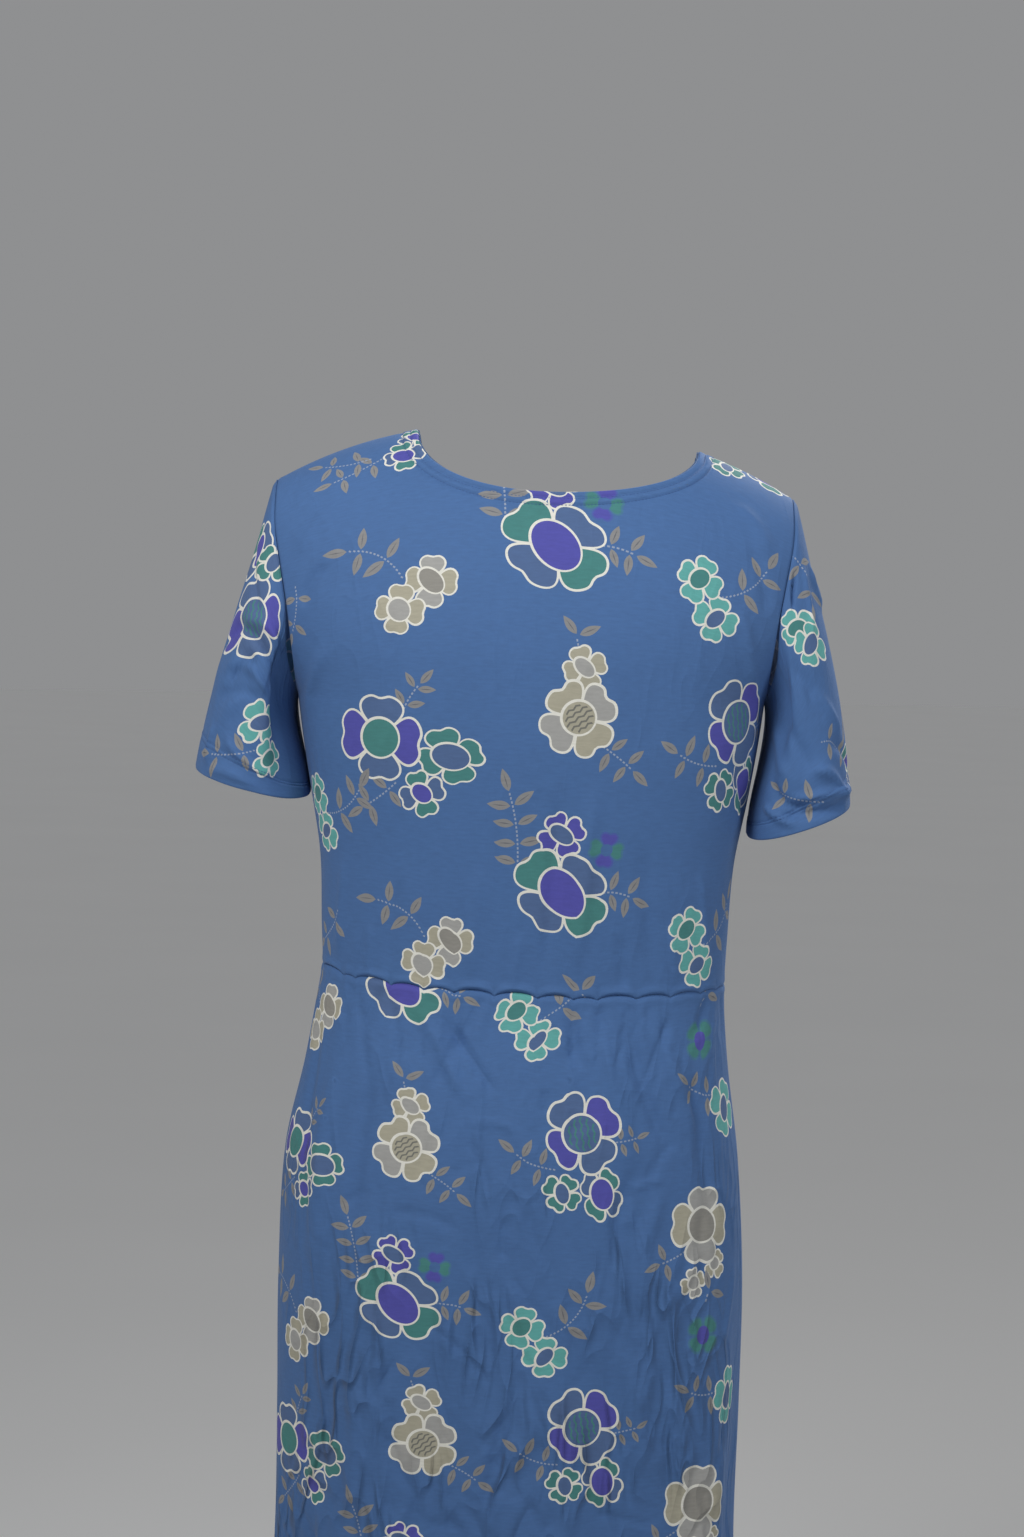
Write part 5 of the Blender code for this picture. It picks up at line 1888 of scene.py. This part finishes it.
@dataclass
class LeftSleeve(SleevePiece):
    """The wearer's left sleeve, on the left of the picture."""

    node: str = "left_sleeve"
    hang: SleeveHang = SleeveHang(
        side=1, hem_out=0.2215, hem_half_width=0.0454, hem_half_depth=0.0654, hem_height=-0.275,
        hem_slope=0.24, back_drop=0.005, hem_flare=0.16)

    dents = ((62, 0.52, 26, 0.07, -2.0), (40, 0.66, 24, 0.06, 1.5), (128, 0.30, 24, 0.28, -12.0),
             (280, 0.55, 30, 0.09, -3.0), (320, 0.70, 26, 0.08, 2.5), (128, 0.75, 22, 0.30, -8.0))
    pixel_motifs = (
        (Motif.CROSSED, 253, 618, 0.98, 20), (Motif.LONE_VIOLET, 259, 550, 1.0, -8),
        (Motif.LONE_SLATE, 274, 563, 0.85, 0), (Motif.LONE_AQUA, 263, 723, 1.0, 0),
        (Motif.LONE_TEAL, 273, 759, 0.98, 0), (Motif.LEAF_SPRIG, 229, 750, 1.0, 29),
    )
    cloth_motifs = (
        (Motif.BEIGE_PAIR, -0.060, 0.110, 1.0), (Motif.CROWNED, -0.100, 0.190, 1.0),
        (Motif.AQUA_PAIR, -0.110, 0.070, 1.0),
    )
    pixel_creases = (
        (222, 655, 282, 690, 4, -2.0, 0.1), (222, 672, 276, 705, 4, 1.6, 0.1),
        (232, 640, 285, 665, 4, 1.6, 0.1), (226, 690, 258, 660, 3.5, -1.6, 0.1),
        (215, 700, 262, 695, 4, -1.4), (222, 730, 280, 776, 4, 1.4, -0.1), (286, 640, 262, 700, 4, -1.4),
        (205, 772, 262, 790, 4, 1.2, 0.1), (246, 545, 262, 620, 5, -1.0), (210, 745, 285, 700, 5, 1.0, 0.1),
        (205, 765, 215, 720, 4, 1.0),
    )
    cloth_creases = (
        (-0.03, 0.10, -0.11, 0.14, 6, -1.6, 0.1), (-0.03, 0.13, -0.11, 0.17, 6, 1.4, 0.1),
    )


@dataclass
class RightSleeve(SleevePiece):
    """The wearer's right sleeve, on the right of the picture."""

    node: str = "right_sleeve"
    hang: SleeveHang = SleeveHang(
        side=-1, hem_out=0.2155, hem_half_width=0.0404, hem_half_depth=0.0674, hem_height=-0.299,
        hem_slope=0.34, back_drop=0.004, hem_flare=0.04)

    dents = ((70, 0.80, 22, 0.06, 2.0), (98, 0.88, 20, 0.06, -2.0), (128, 0.30, 24, 0.28, -10.0),
             (255, 0.60, 30, 0.10, -3.0), (300, 0.78, 26, 0.07, 2.5))
    pixel_motifs = (
        (Motif.LONE_TEAL, 797, 628, 1.0, 0), (Motif.LONE_AQUA, 811, 644, 1.0, 40),
        (Motif.LEAF_SPRIG, 803, 580, 1.0, 118), (Motif.LEAF_SPRIG, 796, 795, 0.95, 12),
        (Motif.LEAF_SPRIG, 836, 748, 0.9, 170), (Motif.LONE_VIOLET, 849, 765, 0.9, 0),
    )
    cloth_motifs = (
        (Motif.TEAL_HEARTED, -0.075, 0.180, 1.0), (Motif.BEIGE_PAIR, -0.100, 0.060, 1.0),
    )
    pixel_creases = (
        (782, 800, 850, 788, 3.5, 1.8, 0.05), (775, 815, 846, 803, 3.5, -2.0, 0.05),
        (770, 776, 815, 812, 3.5, -1.8, 0.08), (806, 770, 846, 812, 3.5, 1.8, -0.08),
        (764, 800, 800, 826, 3.5, 1.6, 0.05), (826, 740, 848, 780, 3.5, -1.4),
        (796, 572, 792, 612, 4, -1.8, 0.1), (806, 560, 826, 610, 4, 1.4, 0.1), (812, 690, 842, 740, 4, 1.4),
        (790, 660, 830, 720, 5, -1.2), (800, 560, 815, 640, 5, 1.0), (770, 720, 800, 790, 5, 1.2),
        (780, 700, 820, 780, 5, -1.2),
    )
    cloth_creases = (
        (-0.03, 0.11, -0.11, 0.15, 6, -1.6, 0.1), (-0.03, 0.15, -0.11, 0.19, 6, 1.4, 0.1),
    )


# ---- Stitching ----


@dataclass(frozen=True)
class Stitching:
    """A row of lock stitches, in metres; a ring is a share of the length, a height and a width."""

    pitch: float = 0.0029
    length: float = 0.0021
    radius: float = 0.00024
    sides: int = 5
    rings: tuple[Triple, ...] = ((-0.5, -0.0002, 0.6), (-0.25, 0.00012, 1.0), (0.25, 0.00012, 1.0),
                                 (0.5, -0.0002, 0.6))

    def build(self, name: str, rows: list[tuple[ClothPiece, Array]], material: Material) -> None:
        """Make all the stitches of a seam as one object.

        Args:
            name: Name of the object.
            rows: Pieces of cloth, each with a line of cloth coordinates on it.
            material: The thread's material.
        """
        vertices: list[Array] = []
        faces: list[tuple[int, ...]] = []
        for piece, line in rows:
            for place in zip(*self.places(piece, line)):
                faces += self.stitch_faces(len(vertices))
                vertices += self.stitch_points(*place)
        mesh = bpy.data.meshes.new(name)
        mesh.from_pydata([tuple(v) for v in vertices], [], faces)
        mesh.materials.append(material)
        mesh.shade_smooth()
        thread = show(name, mesh)
        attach(thread, BODY)
        log.info("%s: %d triangles", name, len(faces))

    def places(self, piece: ClothPiece, line: Array) -> tuple[Array, Array, Array]:
        """Find where the stitches of a line lie.

        Args:
            piece: The cloth.
            line: Cloth coordinates along the line.

        Returns:
            Middles, headings and normals of the stitches.
        """
        run = running_length(piece.worn(line))
        stops = np.arange(self.pitch, run[-1] - self.pitch / 2.0, self.pitch)
        flat = columns(*(np.interp(stops, run, axis) for axis in line.T))
        ahead = columns(*(np.interp(stops + self.length / 2.0, run, axis) for axis in line.T))
        points = piece.worn(flat)
        return points, normalised(piece.worn(ahead) - points), piece.worn_normals(flat, points)

    def stitch_points(self, point: Array, along: Array, normal: Array) -> list[Array]:
        """Points of one stitch: a short thread whose ends dip into the cloth.

        Args:
            point: Its middle.
            along: Its heading.
            normal: The cloth's normal.

        Returns:
            The points, ring by ring.
        """
        side = np.cross(along, normal)
        found = []
        for share, height, width in self.rings:
            middle = point + along * self.length * share + normal * height
            for i in range(self.sides):
                angle = math.tau * i / self.sides
                spoke = side * math.cos(angle) + normal * math.sin(angle)
                found.append(middle + self.radius * width * spoke)
        return found

    def stitch_faces(self, first: int) -> list[tuple[int, ...]]:
        """Triangles of one stitch.

        Args:
            first: Index of its first point.

        Returns:
            The triangles.
        """
        faces = []
        last = first + (len(self.rings) - 1) * self.sides
        for low in range(first, last, self.sides):
            high = low + self.sides
            for i in range(self.sides):
                j = (i + 1) % self.sides
                faces += [(low + i, low + j, high + j), (low + i, high + j, high + i)]
        for i in range(1, self.sides - 1):
            faces += [(first, first + i + 1, first + i), (last, last + i, last + i + 1)]
        return faces


# ---- The dress and its studio ----


class ShiftDress:
    """The whole dress: six cloth pieces and their stitching."""

    def __init__(self) -> None:
        """Make the finishes."""
        self.finish = JerseyFinish()
        self.jersey = self.finish.material()
        self.thread = THREAD.material()

    def build(self) -> None:
        """Build the pieces in order, then the stitching of their hems."""
        bodices = BackBodice(), FrontBodice()
        skirts = BackSkirt(), FrontSkirt()
        sleeves = LeftSleeve(), RightSleeve()
        for piece in (*bodices, *skirts, *sleeves):
            piece.build(self.finish, self.jersey)
        stitching = Stitching()
        seams = {"neck": bodices, "hem": skirts} | {sleeve.node: (sleeve,) for sleeve in sleeves}
        for name, pieces in seams.items():
            rows = [(piece, piece.hem_line(line)) for piece in pieces for line in piece.hem.lines]
            stitching.build(f"{name}_stitching", rows, self.thread)


@dataclass(frozen=True)
class SoftLight:
    """A square soft light that points at the dress; metres and watts."""

    name: str
    place: Triple
    power: float
    tint: Triple
    size: float = 0.9
    spread: float = 75.0

    def build(self) -> None:
        """Add the light."""
        data = bpy.data.lights.new(self.name, "AREA")
        data.size = self.size
        data.spread = math.radians(self.spread)
        data.energy = self.power
        data.color = self.tint
        light = show(self.name, data)
        light.location = self.place
        light.rotation_euler = (-Vector(self.place)).to_track_quat("-Z", "Y").to_euler()


@dataclass(frozen=True)
class Studio:
    """Plain pale floor and soft light."""

    floor_height: float = -1.42
    floor_radius: float = 30.0
    floor_corners: int = 96
    sky_tone: Triple = (216, 217, 219)
    sky_strength: float = 0.40
    lights: tuple[SoftLight, ...] = (
        SoftLight("key_light", (1.05, 1.70, 1.25), 6.9, (1.0, 0.985, 0.96)),
        SoftLight("side_light", (-2.0, 1.5, 0.9), 3.6, (0.96, 0.98, 1.0)),
        SoftLight("front_light", (-1.05, -1.70, 1.25), 6.9, (1.0, 0.99, 0.97)),
    )

    def build(self) -> None:
        """Add the floor, the lights and the sky."""
        self.add_floor()
        for light in self.lights:
            light.build()
        world = bpy.data.worlds.new("studio_air")
        world.use_nodes = True
        sky = world.node_tree.nodes["Background"]
        sky.inputs["Color"].default_value = (*linear(self.sky_tone), 1.0)
        sky.inputs["Strength"].default_value = self.sky_strength
        bpy.context.scene.world = world
        bpy.context.scene.view_settings.view_transform = "Standard"

    def add_floor(self) -> None:
        """Add the floor as a wide disc."""
        turns = [math.tau * i / self.floor_corners for i in range(self.floor_corners)]
        ring = [(self.floor_radius * math.cos(turn), self.floor_radius * math.sin(turn), self.floor_height)
                for turn in turns]
        mesh = bpy.data.meshes.new("floor")
        mesh.from_pydata(ring, [], [tuple(range(len(ring)))])
        mesh.materials.append(FLOOR.material())
        show("floor", mesh)


def main() -> None:
    """Build the dress and its studio; each piece logs its size as it is built."""
    logging.basicConfig(level=logging.INFO, format="%(name)s %(message)s")
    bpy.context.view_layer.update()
    VIEW.add_camera()
    Studio().build()
    ShiftDress().build()


if __name__ == "__main__":
    main()
